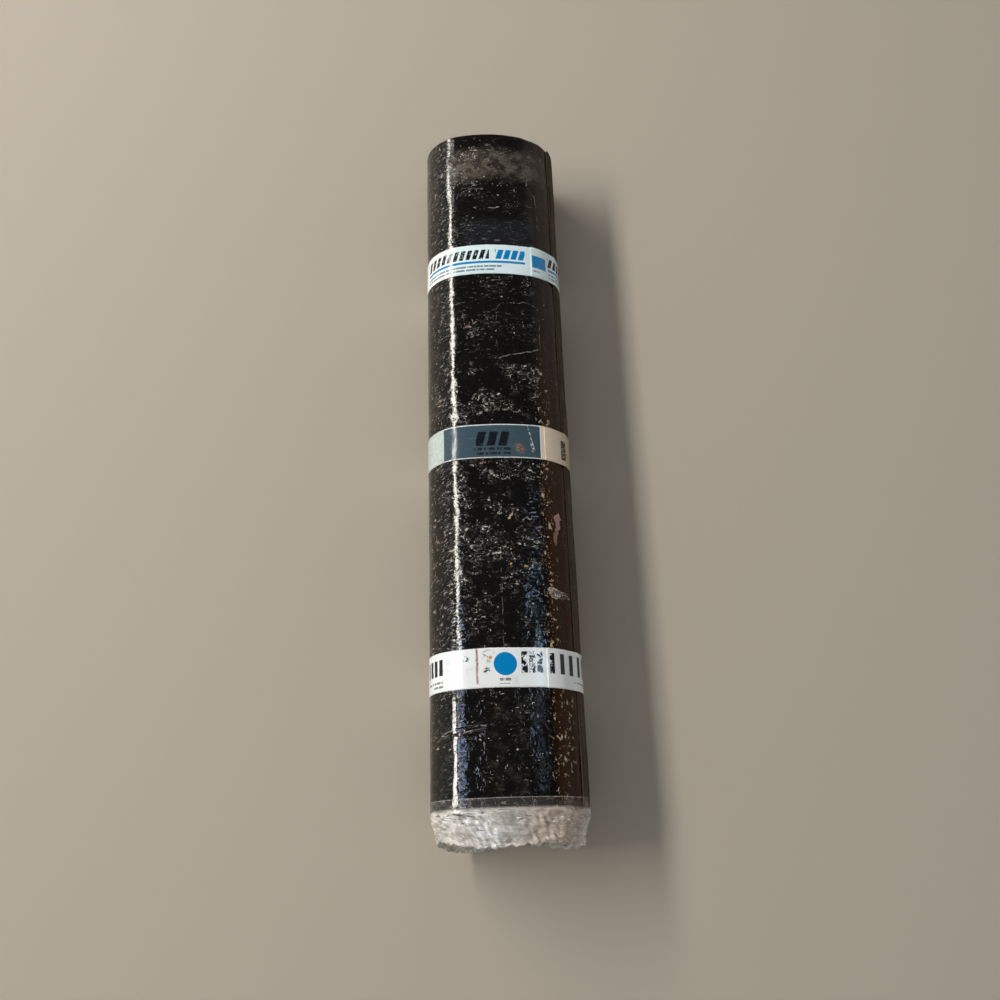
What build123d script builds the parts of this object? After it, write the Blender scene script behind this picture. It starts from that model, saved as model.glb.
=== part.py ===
from build123d import *

import math
import os

# A roll of bituminous roofing felt that lies on the floor, in millimetres.
# The roll's axis runs along Y, with the end that carries the clear film at -Y, and +Z is up.
# The origin is on the floor, under the middle of the whole object.

# The roll and its section: a coreless roll that has squashed into an oval of tangent arcs
roll_length = 1000.0  # width of the felt sheet
roll_across = 200.0  # from side to side, over the outer turn
side_radius = 65.0  # round left and right sides, at the outer turn
crown_radius = 230.0  # gently arched top and underside, at the outer turn

# The winding
sheet_thickness = 3.4
turn_count = 16
lap_angle = 29.0  # where the sheet ends outside, in degrees above the right side's middle
inner_end_angle = 20.0  # where the sheet begins in the bore, measured the same way
turn_gap = 0.6  # width of the line between two turns where it opens on the roll's ends
turn_gap_depth = 3.0
rim_bevel = 0.8  # the worn outer corner at both ends

# The printed tapes: name, middle of the tape from the near end, how far out of square it is wound, and
# the direction of its cut end. The cut end lies on top, and the tape's start runs out under it.
band_width = 50.0
band_thickness = 0.4
band_seat = 0.3  # slack between the tape and the felt
bands = [
    ("band_near", 167.0, -0.5, 75.0),
    ("band_middle", 477.5, -0.7, 64.0),
    ("band_far", 770.0, -0.8, 71.0),
]

# The clear film at the near end
film_thickness = 0.4
film_seat = 0.3
film_cover = 12.0  # how far the film reaches onto the roll
film_skirt = 45.0  # how far it sticks out past the roll's end

# Where the roll begins along Y, so that the origin is under the middle of roll and film together
near_end = (film_skirt - roll_length) / 2

# Centres of the four arcs. Each turn grows by half a sheet's thickness over the top and by as much
# under the roll, because the crowns' centres stand off the middle, so every turn is parallel to the next.
growth = sheet_thickness / 2
side_centre = (roll_across + growth) / 2 - side_radius
crown_reach = crown_radius - side_radius
crown_depth = math.sqrt(crown_reach**2 - side_centre**2)
crown_shift = growth / 2 * math.sqrt(1 + crown_depth**2 / (side_centre**2 - (growth / 2) ** 2))
long_reach = math.hypot(side_centre + crown_shift, crown_depth)

# Directions, in degrees, in which one arc passes into the next
right_to_top = math.degrees(math.atan2(crown_depth, side_centre + crown_shift))
top_to_left = math.degrees(math.atan2(crown_depth, crown_shift - side_centre))
left_to_bottom = right_to_top + 180
bottom_to_right = top_to_left + 180

# Where the section's middle stands: the tapes rest on the floor, and the roll is centred from side to side
band_build = band_seat + band_thickness
section_middle_x = -growth / 2
section_middle_z = side_radius - growth + long_reach - crown_depth + band_build


def arc(centre_x, centre_z, radius, start, end):
    """An arc of the section, from one direction to another, in degrees."""
    centre = (section_middle_x + centre_x, section_middle_z + centre_z)
    return CenterArc(centre, radius, start, end - start)


def right_arc(radius, start, end):
    return arc(side_centre, 0, radius, start, end)


def rest_of_turn(radius):
    """The top, left and bottom arcs that follow a right arc of the given radius."""
    arc(-crown_shift, -crown_depth, radius + long_reach, right_to_top, top_to_left)
    arc(-side_centre, 0, radius + growth, top_to_left, left_to_bottom)
    arc(crown_shift, crown_depth, radius + growth + long_reach, left_to_bottom, bottom_to_right)


def stepped_turn(radius, step_angle):
    """One closed turn with the sheet's end as a step in its right arc. The radius is that below the step."""
    below = right_arc(radius, bottom_to_right - 360, step_angle)
    above = right_arc(radius - sheet_thickness, step_angle, right_to_top)
    Line(below @ 1, above @ 0)
    rest_of_turn(radius - sheet_thickness)


def bridge_angle(stand_off):
    """How far past the sheet's outer end something wrapped round it comes down to the turn below."""
    radius = side_radius + stand_off
    return math.degrees(math.acos((radius - sheet_thickness) / radius))


def wrapped_turn(stand_off):
    """What lies round the roll at a stand-off: over the sheet's outer end it runs straight to the felt."""
    radius = side_radius + stand_off
    landing = lap_angle + bridge_angle(stand_off)
    below = right_arc(radius, bottom_to_right - 360, lap_angle)
    above = right_arc(radius - sheet_thickness, landing, right_to_top)
    Line(below @ 1, above @ 0)
    rest_of_turn(radius - sheet_thickness)


def turn_line(first_radius):
    """The spiral line between the turns, from the sheet's end in the bore to its end outside."""
    right_arc(first_radius, inner_end_angle, right_to_top)
    rest_of_turn(first_radius)
    for turn in range(1, turn_count - 1):
        radius = first_radius + turn * sheet_thickness
        right_arc(radius, bottom_to_right - 360, right_to_top)
        rest_of_turn(radius)
    last_radius = first_radius + (turn_count - 1) * sheet_thickness
    right_arc(last_radius, bottom_to_right - 360, lap_angle)


def across_roll(distance):
    """The upright plane across the roll at a distance from its near end, facing the near side."""
    return Plane.XZ.offset(-near_end - distance)


os.makedirs("parts", exist_ok=True)

# The felt: the squashed coil with its bore, and the spiral line between the turns sunk into both ends
bore_radius = side_radius - turn_count * sheet_thickness

with BuildPart() as felt_roll:
    with BuildSketch(across_roll(roll_length)):
        with BuildLine():
            stepped_turn(side_radius, lap_angle)
        make_face()
    extrude(amount=roll_length)
    outer_rims = felt_roll.edges().filter_by(GeomType.CIRCLE).group_by(Axis.Y)
    chamfer(outer_rims[0] + outer_rims[-1], rim_bevel)
    with BuildSketch(across_roll(roll_length)):
        with BuildLine():
            stepped_turn(bore_radius, inner_end_angle)
        make_face()
    extrude(amount=roll_length, mode=Mode.SUBTRACT)
    for end, inward in ((0, 1), (roll_length, -1)):
        with BuildLine(across_roll(end)) as gap_line:
            turn_line(bore_radius)
        gap_path = gap_line.wire()
        outward = Vector(1, 0, 0).rotate(Axis.Y, -inner_end_angle)
        with BuildSketch(Plane(gap_path @ 0, x_dir=outward, z_dir=gap_path % 0)):
            with BuildLine():
                Polyline(
                    (-turn_gap / 2, 0),
                    (-turn_gap / 2, -turn_gap * inward),
                    (turn_gap / 2, -turn_gap * inward),
                    (turn_gap / 2, 0),
                    (0, turn_gap_depth * inward),
                    close=True,
                )
            make_face()
        sweep(path=gap_path, mode=Mode.SUBTRACT)

felt_roll.part.label = "felt_roll"
export_step(felt_roll.part, "parts/felt_roll.step")

# The tapes: rings that bridge the sheet's outer end. Each has a second layer from its cut end down to
# that bridge, and both its edges are cut a little out of square.
edge_allowance = band_width / 10
overlap_start = lap_angle + bridge_angle(band_build)
first_layer = side_radius - sheet_thickness + band_build
second_layer = first_layer + band_thickness

for name, middle, skew, cut_end in bands:
    with BuildPart() as band:
        with BuildSketch(across_roll(middle + band_width / 2 + edge_allowance)):
            with BuildLine():
                wrapped_turn(band_build)
            make_face()
            with BuildLine():
                wrapped_turn(band_seat)
            make_face(mode=Mode.SUBTRACT)
            with BuildLine():
                lower = right_arc(first_layer, overlap_start, cut_end)
                upper = right_arc(second_layer, overlap_start, cut_end)
                Line(lower @ 0, upper @ 0)
                Line(lower @ 1, upper @ 1)
            make_face()
        extrude(amount=band_width + 2 * edge_allowance)
        band_middle_plane = across_roll(middle).rotated((0, 0, skew))
        split(bisect_by=band_middle_plane.offset(band_width / 2), keep=Keep.BOTTOM)
        split(bisect_by=band_middle_plane.offset(-band_width / 2), keep=Keep.TOP)
    band.part.label = name
    export_step(band.part, f"parts/{name}.step")

# The clear film: a thin sleeve round the roll's near end that stands out past it, open at the end
with BuildPart() as end_film:
    with BuildSketch(across_roll(film_cover)):
        with BuildLine():
            wrapped_turn(film_seat + film_thickness)
        make_face()
        with BuildLine():
            wrapped_turn(film_seat)
        make_face(mode=Mode.SUBTRACT)
    extrude(amount=film_cover + film_skirt)

end_film.part.label = "end_film"
export_step(end_film.part, "parts/end_film.step")
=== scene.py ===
import math

import bpy
import numpy as np
from mathutils import Matrix, Vector


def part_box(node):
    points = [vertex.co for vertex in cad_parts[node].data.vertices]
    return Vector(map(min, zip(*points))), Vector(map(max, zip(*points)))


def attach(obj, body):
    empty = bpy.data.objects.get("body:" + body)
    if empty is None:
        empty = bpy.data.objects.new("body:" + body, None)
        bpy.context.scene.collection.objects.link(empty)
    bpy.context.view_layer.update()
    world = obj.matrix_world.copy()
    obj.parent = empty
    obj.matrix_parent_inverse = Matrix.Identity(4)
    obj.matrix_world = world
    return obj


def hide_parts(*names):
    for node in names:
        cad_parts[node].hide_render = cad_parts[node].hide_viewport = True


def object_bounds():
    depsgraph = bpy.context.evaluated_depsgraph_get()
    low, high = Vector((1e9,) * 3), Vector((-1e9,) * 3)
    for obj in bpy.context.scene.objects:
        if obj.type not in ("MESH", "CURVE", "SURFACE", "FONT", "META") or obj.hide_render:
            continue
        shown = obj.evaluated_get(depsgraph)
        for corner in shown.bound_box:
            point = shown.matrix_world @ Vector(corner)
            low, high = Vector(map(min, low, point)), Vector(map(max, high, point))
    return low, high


bl_info = {
    "name": "Roofing Felt Roll",
    "version": (1, 0, 0),
    "blender": (4, 5, 0),
    "location": "View3D > Sidebar > Felt Roll",
    "description": "Winds, tapes and weathers a squashed roll of roofing felt with clear film on one end",
    "category": "Object",
}

MM = 0.001
BODY = "root"

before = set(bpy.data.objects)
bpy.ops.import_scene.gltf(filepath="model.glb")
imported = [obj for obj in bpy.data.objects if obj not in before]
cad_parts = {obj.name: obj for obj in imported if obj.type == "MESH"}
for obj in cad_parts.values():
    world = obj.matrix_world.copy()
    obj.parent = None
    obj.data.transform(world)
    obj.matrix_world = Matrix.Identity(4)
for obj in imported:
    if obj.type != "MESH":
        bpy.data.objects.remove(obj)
CAD_BOX = [list(corner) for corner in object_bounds()]
FELT_LOW, FELT_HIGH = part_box("felt_roll")
FILM_LOW, FILM_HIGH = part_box("end_film")
ROLL_LENGTH = FELT_HIGH.y - FELT_LOW.y


def srgb(red, green, blue):
    """A colour as it looks on a screen, 0 to 255, as the linear values that shaders take."""
    linear = []
    for value in (red, green, blue):
        share = value / 255
        linear.append(share / 12.92 if share <= 0.04045 else ((share + 0.055) / 1.055) ** 2.4)
    return linear


def length_property(name, description, default_mm):
    return bpy.props.FloatProperty(
        name=name, description=description, default=default_mm * MM, unit="LENGTH", precision=5
    )


def angle_property(name, description, default_degrees):
    return bpy.props.FloatProperty(
        name=name, description=description, default=math.radians(default_degrees), subtype="ANGLE"
    )


def power_property(name, description, default_watts):
    return bpy.props.FloatProperty(name=name, description=description, default=default_watts, unit="POWER")


def colour_property(name, description, red, green, blue):
    return bpy.props.FloatVectorProperty(
        name=name,
        description=description,
        default=srgb(red, green, blue),
        subtype="COLOR",
        size=3,
        min=0,
        max=1,
    )


class FeltSettings(bpy.types.PropertyGroup):
    """Sizes and colours of the wound sheet."""

    sheet_thickness: length_property("Sheet thickness", "Thickness of the felt sheet", 3.4)
    side_radius: length_property("Side radius", "Radius of the roll's right side, at the outer turn", 65)
    crown_radius: length_property("Crown radius", "Radius of the arched top, at the outer turn", 230)
    turn_count: bpy.props.IntProperty(name="Turns", description="How often it goes round", default=16)
    lap_angle: angle_property("Lap angle", "Where the sheet ends outside, up from the right side", 29)
    inner_angle: angle_property("Inner end angle", "Where the sheet begins in the bore", 20)
    grid: length_property("Grid", "Spacing of the outer skin's mesh", 3.1)
    film_black: colour_property("Film black", "The glossy film that faces the felt", 17, 16, 15)
    # Film brown is a painted reflection: the brown of the shaded floor that the right side reflects, drawn
    # in colour.
    film_brown_reflection: colour_property("Film brown", "The film where it is thin, on the right side", 52, 30, 11)
    dust: colour_property("Dust", "Dust and scuffs on the film", 96, 88, 78)
    # Flecks are partly painted highlights: glints of the film's wrinkles drawn in colour, besides real
    # nicks, creases and dust.
    fleck: colour_property("Flecks", "Light nicks and creases in the film", 222, 217, 206)
    warm_fleck: colour_property("Warm flecks", "Grit on the right side", 176, 146, 112)
    dash: colour_property("Dashes", "Slanting scuffs on the left side", 152, 143, 131)
    # Glint is a painted highlight: the creamy glints along the right shoulder are drawn in colour.
    glint: colour_property("Glints", "Creamy nicks along the right shoulder", 216, 200, 166)
    # Cold dashes are painted highlights: a bluish sheen and sparkles drawn in colour, not scuffs.
    bluish_highlight: colour_property("Cold dashes", "Bluish scuffs near the tapes", 138, 144, 160)
    bitumen: colour_property("Bitumen", "The cut edges of the sheet", 30, 27, 25)
    bitumen_grain: colour_property("Bitumen grain", "Grains that stand out of the cut edges", 74, 66, 58)
    bitumen_smear: colour_property("Bitumen smears", "Where the cut edges are smeared smooth", 12, 11, 11)
    # The end edge's colour is painted light: the cut end is lightened as if it caught the light.
    end_edge: colour_property("End edge", "The sheet's cut end outside, in the light", 138, 118, 100)


class TapeSettings(bpy.types.PropertyGroup):
    """Sizes and colours of the printed tapes."""

    thickness: length_property("Thickness", "Thickness of one layer of tape", 0.2)
    stand_off: length_property("Stand-off", "Slack between tape and felt", 0.12)
    white: colour_property("White", "The unprinted tape", 245, 249, 249)
    slate: colour_property("Slate", "The printed panel of the middle tape", 66, 86, 98)
    blue: colour_property("Blue", "Blue print", 0, 136, 204)
    ink: colour_property("Ink", "Dark print", 26, 29, 34)


class FilmSettings(bpy.types.PropertyGroup):
    """Size and crumple of the clear film at the near end."""

    thickness: length_property("Thickness", "Thickness of the film with its small folds", 0.12)
    crumple: length_property("Crumple", "Height of the folds at the free edge", 3.4)
    draw_in: length_property("Draw-in", "How far the free edge pulls in at the sides", 9)
    tint: colour_property("Tint", "Colour of the clear film where it is folded", 248, 243, 235)
    shaded_tint: colour_property("Tint on the right", "Colour of folds on the right side", 232, 212, 196)
    # Glint and fold shade are painted light: a painted highlight and the painted shade of the folds; the
    # tint on the right is painted shade.
    glint: colour_property("Glint", "The brightest folds", 250, 250, 250)
    fold_shade: colour_property("Fold shade", "The dark side of the folds", 84, 79, 76)


class DirtSettings(bpy.types.PropertyGroup):
    """Colours of the scraps and grit, and the size of a grain."""

    grain: length_property("Grain", "Half the length of a common grain", 0.75)
    pink: colour_property("Pink", "A torn scrap on the right side", 188, 142, 128)
    tan: colour_property("Tan", "Earthy scraps and grit", 150, 112, 84)
    straw: colour_property("Straw", "Pale yellow grit", 190, 172, 134)
    gold: colour_property("Gold", "A few bright grains", 222, 176, 88)
    grey: colour_property("Grey", "Dust clots", 150, 144, 134)


class StageSettings(bpy.types.PropertyGroup):
    """Floor, lamps and surroundings."""

    floor: colour_property("Floor", "Colour of the plain floor", 186, 176, 161)
    strip_power: power_property("Strip lamp", "Power of the long lamp on the left", 300)
    fill_power: power_property("Fill lamp", "Power of the wide lamp overhead", 100)
    streak_brightness: bpy.props.FloatProperty(
        name="Streak lamps", description="How bright the narrow lamps that draw the streak look", default=19
    )
    sky_brightness: bpy.props.FloatProperty(
        name="Sky lamps", description="How bright the bluish lamps overhead look", default=10
    )
    horizon: colour_property("Horizon", "Colour of the surroundings at eye level", 206, 205, 202)
    zenith: colour_property("Zenith", "Colour of the surroundings overhead", 36, 37, 38)


class Winding:
    """The roll's section: four tangent arcs whose centres make every turn parallel to the next.

    Directions are in degrees and grow upwards from the right side, over the top. A direction past
    360 degrees belongs to a later turn. All lengths are in metres.
    """

    steps_per_turn = 1440

    def __init__(self, felt):
        self.sheet = felt.sheet_thickness
        self.turns = felt.turn_count
        self.bore_radius = felt.side_radius - felt.turn_count * felt.sheet_thickness
        self.growth = felt.sheet_thickness / 2
        half_width = (FELT_HIGH.x - FELT_LOW.x + self.growth) / 2
        self.side_centre = half_width - felt.side_radius
        reach = felt.crown_radius - felt.side_radius
        self.crown_depth = math.sqrt(reach**2 - self.side_centre**2)
        slope = self.crown_depth**2 / (self.side_centre**2 - (self.growth / 2) ** 2)
        self.crown_shift = self.growth / 2 * math.sqrt(1 + slope)
        self.long_reach = math.hypot(self.side_centre + self.crown_shift, self.crown_depth)
        self.right_to_top = math.degrees(math.atan2(self.crown_depth, self.side_centre + self.crown_shift))
        self.top_to_left = math.degrees(math.atan2(self.crown_depth, self.crown_shift - self.side_centre))
        self.turn_start = self.top_to_left + 180 - 360
        self.middle_x = -self.growth / 2
        top_of_crown = felt.side_radius - felt.sheet_thickness + self.long_reach - self.crown_depth
        self.middle_z = FELT_HIGH.z - top_of_crown
        self.lap = math.degrees(felt.lap_angle)
        self.inner = math.degrees(felt.inner_angle)
        self.outer_turn_start = self.lap + 360 * (felt.turn_count - 1)
        self.outer_turn_end = self.lap + 360 * felt.turn_count
        self.length_table()

    def place(self, direction, depth=0.0):
        """Points of the sheet's outer face, or so deep below it, and the normals there."""
        direction = np.asarray(direction, float)
        turn = np.floor((direction - self.turn_start) / 360)
        local = direction - 360 * turn
        left_to_bottom = self.right_to_top + 180
        arcs = [local < self.right_to_top, local < self.top_to_left, local < left_to_bottom]
        to_side = self.side_centre
        centre_x = np.select(arcs, [to_side, -self.crown_shift, -to_side], self.crown_shift)
        centre_z = np.select(arcs, [0, -self.crown_depth, 0], self.crown_depth)
        extra = np.select(arcs, [0, self.long_reach, self.growth], self.long_reach + self.growth)
        radius = self.bore_radius + turn * self.sheet + extra - depth
        normal_x = np.cos(np.radians(local))
        normal_z = np.sin(np.radians(local))
        x = self.middle_x + centre_x + radius * normal_x
        z = self.middle_z + centre_z + radius * normal_z
        return x, z, normal_x, normal_z

    def length_table(self):
        """Length along the sheet's outer face, by direction, from the inner end to the outer end."""
        steps = self.turns * self.steps_per_turn
        self.table_direction = np.linspace(self.inner, self.outer_turn_end, steps)
        x, z, _, _ = self.place(self.table_direction)
        self.table_length = np.concatenate([[0], np.cumsum(np.hypot(np.diff(x), np.diff(z)))])
        self.crown_length = self.length_at(90 + 360 * (self.turns - 1))
        self.skin_start = self.length_at(self.outer_turn_start)
        self.skin_end = self.table_length[-1]
        self.girth = self.skin_end - self.skin_start

    def length_at(self, direction):
        return np.interp(direction, self.table_direction, self.table_length)

    def direction_at(self, length):
        return np.interp(length, self.table_length, self.table_direction)

    def across(self, length):
        """How far to the right of the crown a place on the outer turn is, measured over the surface."""
        return self.crown_length - length


def plane_waves(seed, count, shortest, longest):
    """A smooth random field over a surface, about -1 to 1, as a sum of plane waves."""
    random = np.random.default_rng(seed)
    waves = []
    for _ in range(count):
        wavelength = shortest * (longest / shortest) ** random.uniform()
        waves.append((wavelength, random.uniform(0, math.pi), random.uniform(0, 2 * math.pi)))

    def field(across, along):
        total = 0
        for wavelength, heading, phase in waves:
            run = across * math.cos(heading) + along * math.sin(heading)
            total = total + np.sin(2 * math.pi * run / wavelength + phase)
        return total / math.sqrt(count / 2)

    return field


def folds(seed, count, shortest, longest, turned=None):
    """A field of flat facets between sharp folds, about -1 to 1, as a sum of triangle waves.

    The folds run every way, or about one way, where turned gives that heading and its spread.
    """
    random = np.random.default_rng(seed)
    waves = []
    for _ in range(count):
        wavelength = shortest * (longest / shortest) ** random.uniform()
        heading = random.uniform(0, math.pi) if turned is None else random.normal(*turned)
        waves.append((wavelength, heading, random.uniform(), random.uniform(0.5, 1.5)))

    def field(across, along):
        total = 0
        heights = 0
        for wavelength, heading, phase, bend in waves:
            run = across * math.cos(heading) + along * math.sin(heading)
            sway = bend * wavelength * np.sin(2 * math.pi * (across - along) / (5 * wavelength) + 6 * phase)
            saw = (run + sway) / wavelength + phase
            total = total + wavelength * (4 * np.abs(saw - np.floor(saw + 0.5)) - 1)
            heights += wavelength**2
        return total / math.sqrt(heights)

    return field


def smooth_step(value, low, high):
    share = np.clip((value - low) / (high - low), 0, 1)
    return share * share * (3 - 2 * share)


def hump(value, middle, reach):
    """1 at the middle, falling smoothly to 0 at the reach."""
    return 1 - smooth_step(np.abs(value - middle), 0, reach)


# Shallow dents in the outer face, and how deep the face lies at most below the true section
DENT_COUNT = 46
DEEPEST_RELIEF = 1.6 * MM


def skin_relief(across, along):
    """How far the outer face lies below the true section: long waves, shallow dents and one crease."""
    swell = plane_waves(11, 9, 70 * MM, 260 * MM)(across, along)
    ripple = plane_waves(12, 10, 16 * MM, 45 * MM)(across, along)
    depth = 0.22 * MM * (1 + swell) + 0.07 * MM * (1.5 + ripple)
    random = np.random.default_rng(13)
    for _ in range(DENT_COUNT):
        dent_across = random.uniform(-170, 110) * MM
        dent_along = random.uniform(20, 980) * MM
        dent_reach = random.uniform(7, 22) * MM
        dent_depth = random.uniform(0.15, 0.6) * MM
        distance = np.hypot(across - dent_across, (along - dent_along) * random.uniform(0.5, 1.6))
        depth = depth + dent_depth * hump(distance, 0, dent_reach)
    crease_line = 94 * MM + (across + 24 * MM) * 0.09
    crease = hump(along, crease_line, 4 * MM) * hump(across, -52 * MM, 42 * MM)
    return np.clip(depth + 0.8 * MM * crease, 0, DEEPEST_RELIEF)


def near_y(along):
    """The frame's Y of a distance from the roll's near end."""
    return FELT_LOW.y + along


class MeshParts:
    """Collects vertices, faces, unrolled places and material numbers of one mesh."""

    def __init__(self):
        self.vertices = []
        self.unrolled = []
        self.count = 0
        self.faces = []
        self.materials = []

    def add_vertices(self, x, y, z, across, along):
        """Adds a grid of vertices and gives back their numbers in the same shape."""
        x, y, z, across, along = np.broadcast_arrays(x, y, z, across, along)
        self.vertices.append(np.stack([x, y, z], -1).reshape(-1, 3))
        self.unrolled.append(np.stack([across, along], -1).reshape(-1, 2))
        numbers = np.arange(self.count, self.count + x.size).reshape(x.shape)
        self.count += x.size
        return numbers

    def add_strip(self, numbers, material=0, flip=False):
        """Quads over a grid of vertex numbers."""
        quads = np.stack([numbers[:-1, :-1], numbers[1:, :-1], numbers[1:, 1:], numbers[:-1, 1:]], -1)
        quads = quads.reshape(-1, 4)
        if flip:
            quads = quads[:, ::-1]
        self.faces.extend(quads.tolist())
        self.materials.extend([material] * len(quads))

    def add_face(self, corners, material=0):
        self.faces.append([int(corner) for corner in corners])
        self.materials.append(material)

    def join_rows(self, fine, coarse, fine_rows, coarse_rows, material=0):
        """Closes the seam between a fine and a coarse row of vertices whose end places agree."""
        hair = 1e-9
        for cell in range(len(coarse) - 1):
            first = int(np.searchsorted(fine_rows, coarse_rows[cell] - hair))
            last = int(np.searchsorted(fine_rows, coarse_rows[cell + 1] - hair))
            corners = [coarse[cell], coarse[cell + 1]] + list(fine[first : last + 1][::-1])
            self.add_face(corners, material)

    def add_sheet(self, outer, inner, across, along, material=0):
        """A thin closed sheet between two grids of points, each of shape (run, width, 3)."""
        top = self.add_vertices(outer[..., 0], outer[..., 1], outer[..., 2], across, along)
        below = self.add_vertices(inner[..., 0], inner[..., 1], inner[..., 2], across, along)
        self.add_strip(top, material)
        self.add_strip(below, material, flip=True)
        self.add_strip(np.stack([below[:, 0], top[:, 0]], 1), material)
        self.add_strip(np.stack([top[:, -1], below[:, -1]], 1), material)
        self.add_strip(np.stack([top[0], below[0]]), material, flip=True)
        self.add_strip(np.stack([below[-1], top[-1]]), material, flip=True)

    def make(self, name, materials):
        mesh = bpy.data.meshes.new(name)
        mesh.from_pydata(np.concatenate(self.vertices), [], self.faces)
        for material in materials:
            mesh.materials.append(material)
        mesh.polygons.foreach_set("material_index", np.array(self.materials, dtype=np.int32))
        mesh.polygons.foreach_set("use_smooth", np.ones(len(self.faces), dtype=bool))
        loops = np.empty(len(mesh.loops), dtype=np.int32)
        mesh.loops.foreach_get("vertex_index", loops)
        layer = mesh.uv_layers.new(name="unrolled")
        layer.uv.foreach_set("vector", np.concatenate(self.unrolled)[loops].astype(np.float32).ravel())
        mesh.validate()
        mesh.update()
        piece = bpy.data.objects.new(name, mesh)
        bpy.context.scene.collection.objects.link(piece)
        return piece


def is_linkable(value):
    return isinstance(value, bpy.types.NodeSocket)


class ShaderNodes:
    """Short calls that add shader nodes to one material and link them.

    A place on the unrolled surface is a pair: across, to the right of the crown, and along, from the
    near end, as sockets in metres. Sizes and places that a call takes as numbers are in millimetres.
    """

    def __init__(self, name):
        self.material = bpy.data.materials.new(name)
        self.material.use_nodes = True
        self.tree = self.material.node_tree
        self.tree.nodes.clear()
        self.surface = None

    def feed(self, socket, value):
        if is_linkable(value):
            self.tree.links.new(value, socket)
        else:
            socket.default_value = value

    def node(self, kind, **settings):
        made = self.tree.nodes.new(kind)
        for setting, value in settings.items():
            setattr(made, setting, value)
        return made

    def parts(self, vector):
        """The first two parts of a vector."""
        split = self.node("ShaderNodeSeparateXYZ")
        self.feed(split.inputs[0], vector)
        return split.outputs[0], split.outputs[1]

    def unrolled(self):
        """The place on the unrolled surface, across and along."""
        if self.surface is None:
            self.surface = self.parts(self.node("ShaderNodeUVMap", uv_map="unrolled").outputs[0])
        return self.surface

    def room(self):
        """The place in the room, in metres."""
        return self.node("ShaderNodeTexCoord").outputs["Object"]

    def vector(self, x, y, z=0.0):
        made = self.node("ShaderNodeCombineXYZ")
        for socket, value in zip(made.inputs, (x, y, z)):
            self.feed(socket, value)
        return made.outputs[0]

    def math(self, operation, *values, clamp=False):
        made = self.node("ShaderNodeMath", operation=operation, use_clamp=clamp)
        for socket, value in zip(made.inputs, values):
            self.feed(socket, value)
        return made.outputs[0]

    def times(self, first, second):
        return self.math("MULTIPLY", first, second)

    def plus(self, first, second, clamp=False):
        return self.math("ADD", first, second, clamp=clamp)

    def minus(self, first, second):
        return self.math("SUBTRACT", first, second)

    def line(self, value, slope, start):
        """Start where the value is 0, and by the slope more where it is 1."""
        return self.math("MULTIPLY_ADD", value, slope, start)

    def either(self, *masks):
        """The stronger of several masks."""
        total = masks[0]
        for mask in masks[1:]:
            total = self.math("MAXIMUM", total, mask)
        return total

    def ramp(self, value, low, high, to_low=0.0, to_high=1.0):
        """A smooth passage from one value to another."""
        made = self.node("ShaderNodeMapRange", interpolation_type="SMOOTHSTEP")
        for socket, given in zip(made.inputs, (value, low, high, to_low, to_high)):
            self.feed(socket, given)
        return made.outputs[0]

    def fade(self, value, low, high, to_low=0.0, to_high=1.0):
        """A smooth passage between two places."""
        return self.ramp(value, low * MM, high * MM, to_low, to_high)

    def noise(self, vector, scale, detail=2.0, roughness=0.5, distortion=0.0):
        made = self.node("ShaderNodeTexNoise")
        self.feed(made.inputs["Vector"], vector)
        made.inputs["Scale"].default_value = scale
        made.inputs["Detail"].default_value = detail
        made.inputs["Roughness"].default_value = roughness
        made.inputs["Distortion"].default_value = distortion
        return made.outputs[0]

    def surface_noise(self, scale, detail=2.0, roughness=0.5, seed=0.0):
        """A noise over the unrolled surface, its scale in cells for each metre."""
        return self.noise(self.vector(*self.unrolled(), seed), scale, detail, roughness)

    def cells(self, across_size, along_size, seed=0.0, at=None):
        """Coordinates in cells of the given size."""
        across, along = at or self.unrolled()
        columns = self.times(across, 1 / (across_size * MM))
        rows = self.times(along, 1 / (along_size * MM))
        return self.vector(columns, rows, seed)

    def clouds(self, across_size, along_size, seed=0.0, detail=2.0, roughness=0.5, distortion=0.0, at=None):
        """A noise whose blots are about as large as the given cells."""
        return self.noise(self.cells(across_size, along_size, seed, at), 1.0, detail, roughness, distortion)

    def shaken(self, vector, scale, amount):
        """Coordinates pushed about by a noise, so that shapes come out irregular."""
        cloud = self.node("ShaderNodeTexNoise")
        self.feed(cloud.inputs["Vector"], vector)
        cloud.inputs["Scale"].default_value = scale
        cloud.inputs["Detail"].default_value = 2.0
        centred = self.node("ShaderNodeVectorMath", operation="SUBTRACT")
        self.feed(centred.inputs[0], cloud.outputs["Color"])
        centred.inputs[1].default_value = (0.5, 0.5, 0.5)
        pushed = self.node("ShaderNodeVectorMath", operation="MULTIPLY_ADD")
        self.feed(pushed.inputs[0], centred.outputs[0])
        pushed.inputs[1].default_value = (amount, amount, 0)
        self.feed(pushed.inputs[2], vector)
        return pushed.outputs[0]

    def ragged(self, across_size, along_size, seed, scale, amount, at=None):
        """Coordinates in cells that are pushed about by so many cells."""
        return self.shaken(self.cells(across_size, along_size, seed, at), scale, amount)

    def wandering(self, scale, amount, at=None):
        """The unrolled surface's places, or others, pushed about by up to half the amount."""
        return self.parts(self.shaken(self.vector(*(at or self.unrolled())), scale, amount * MM))

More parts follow.
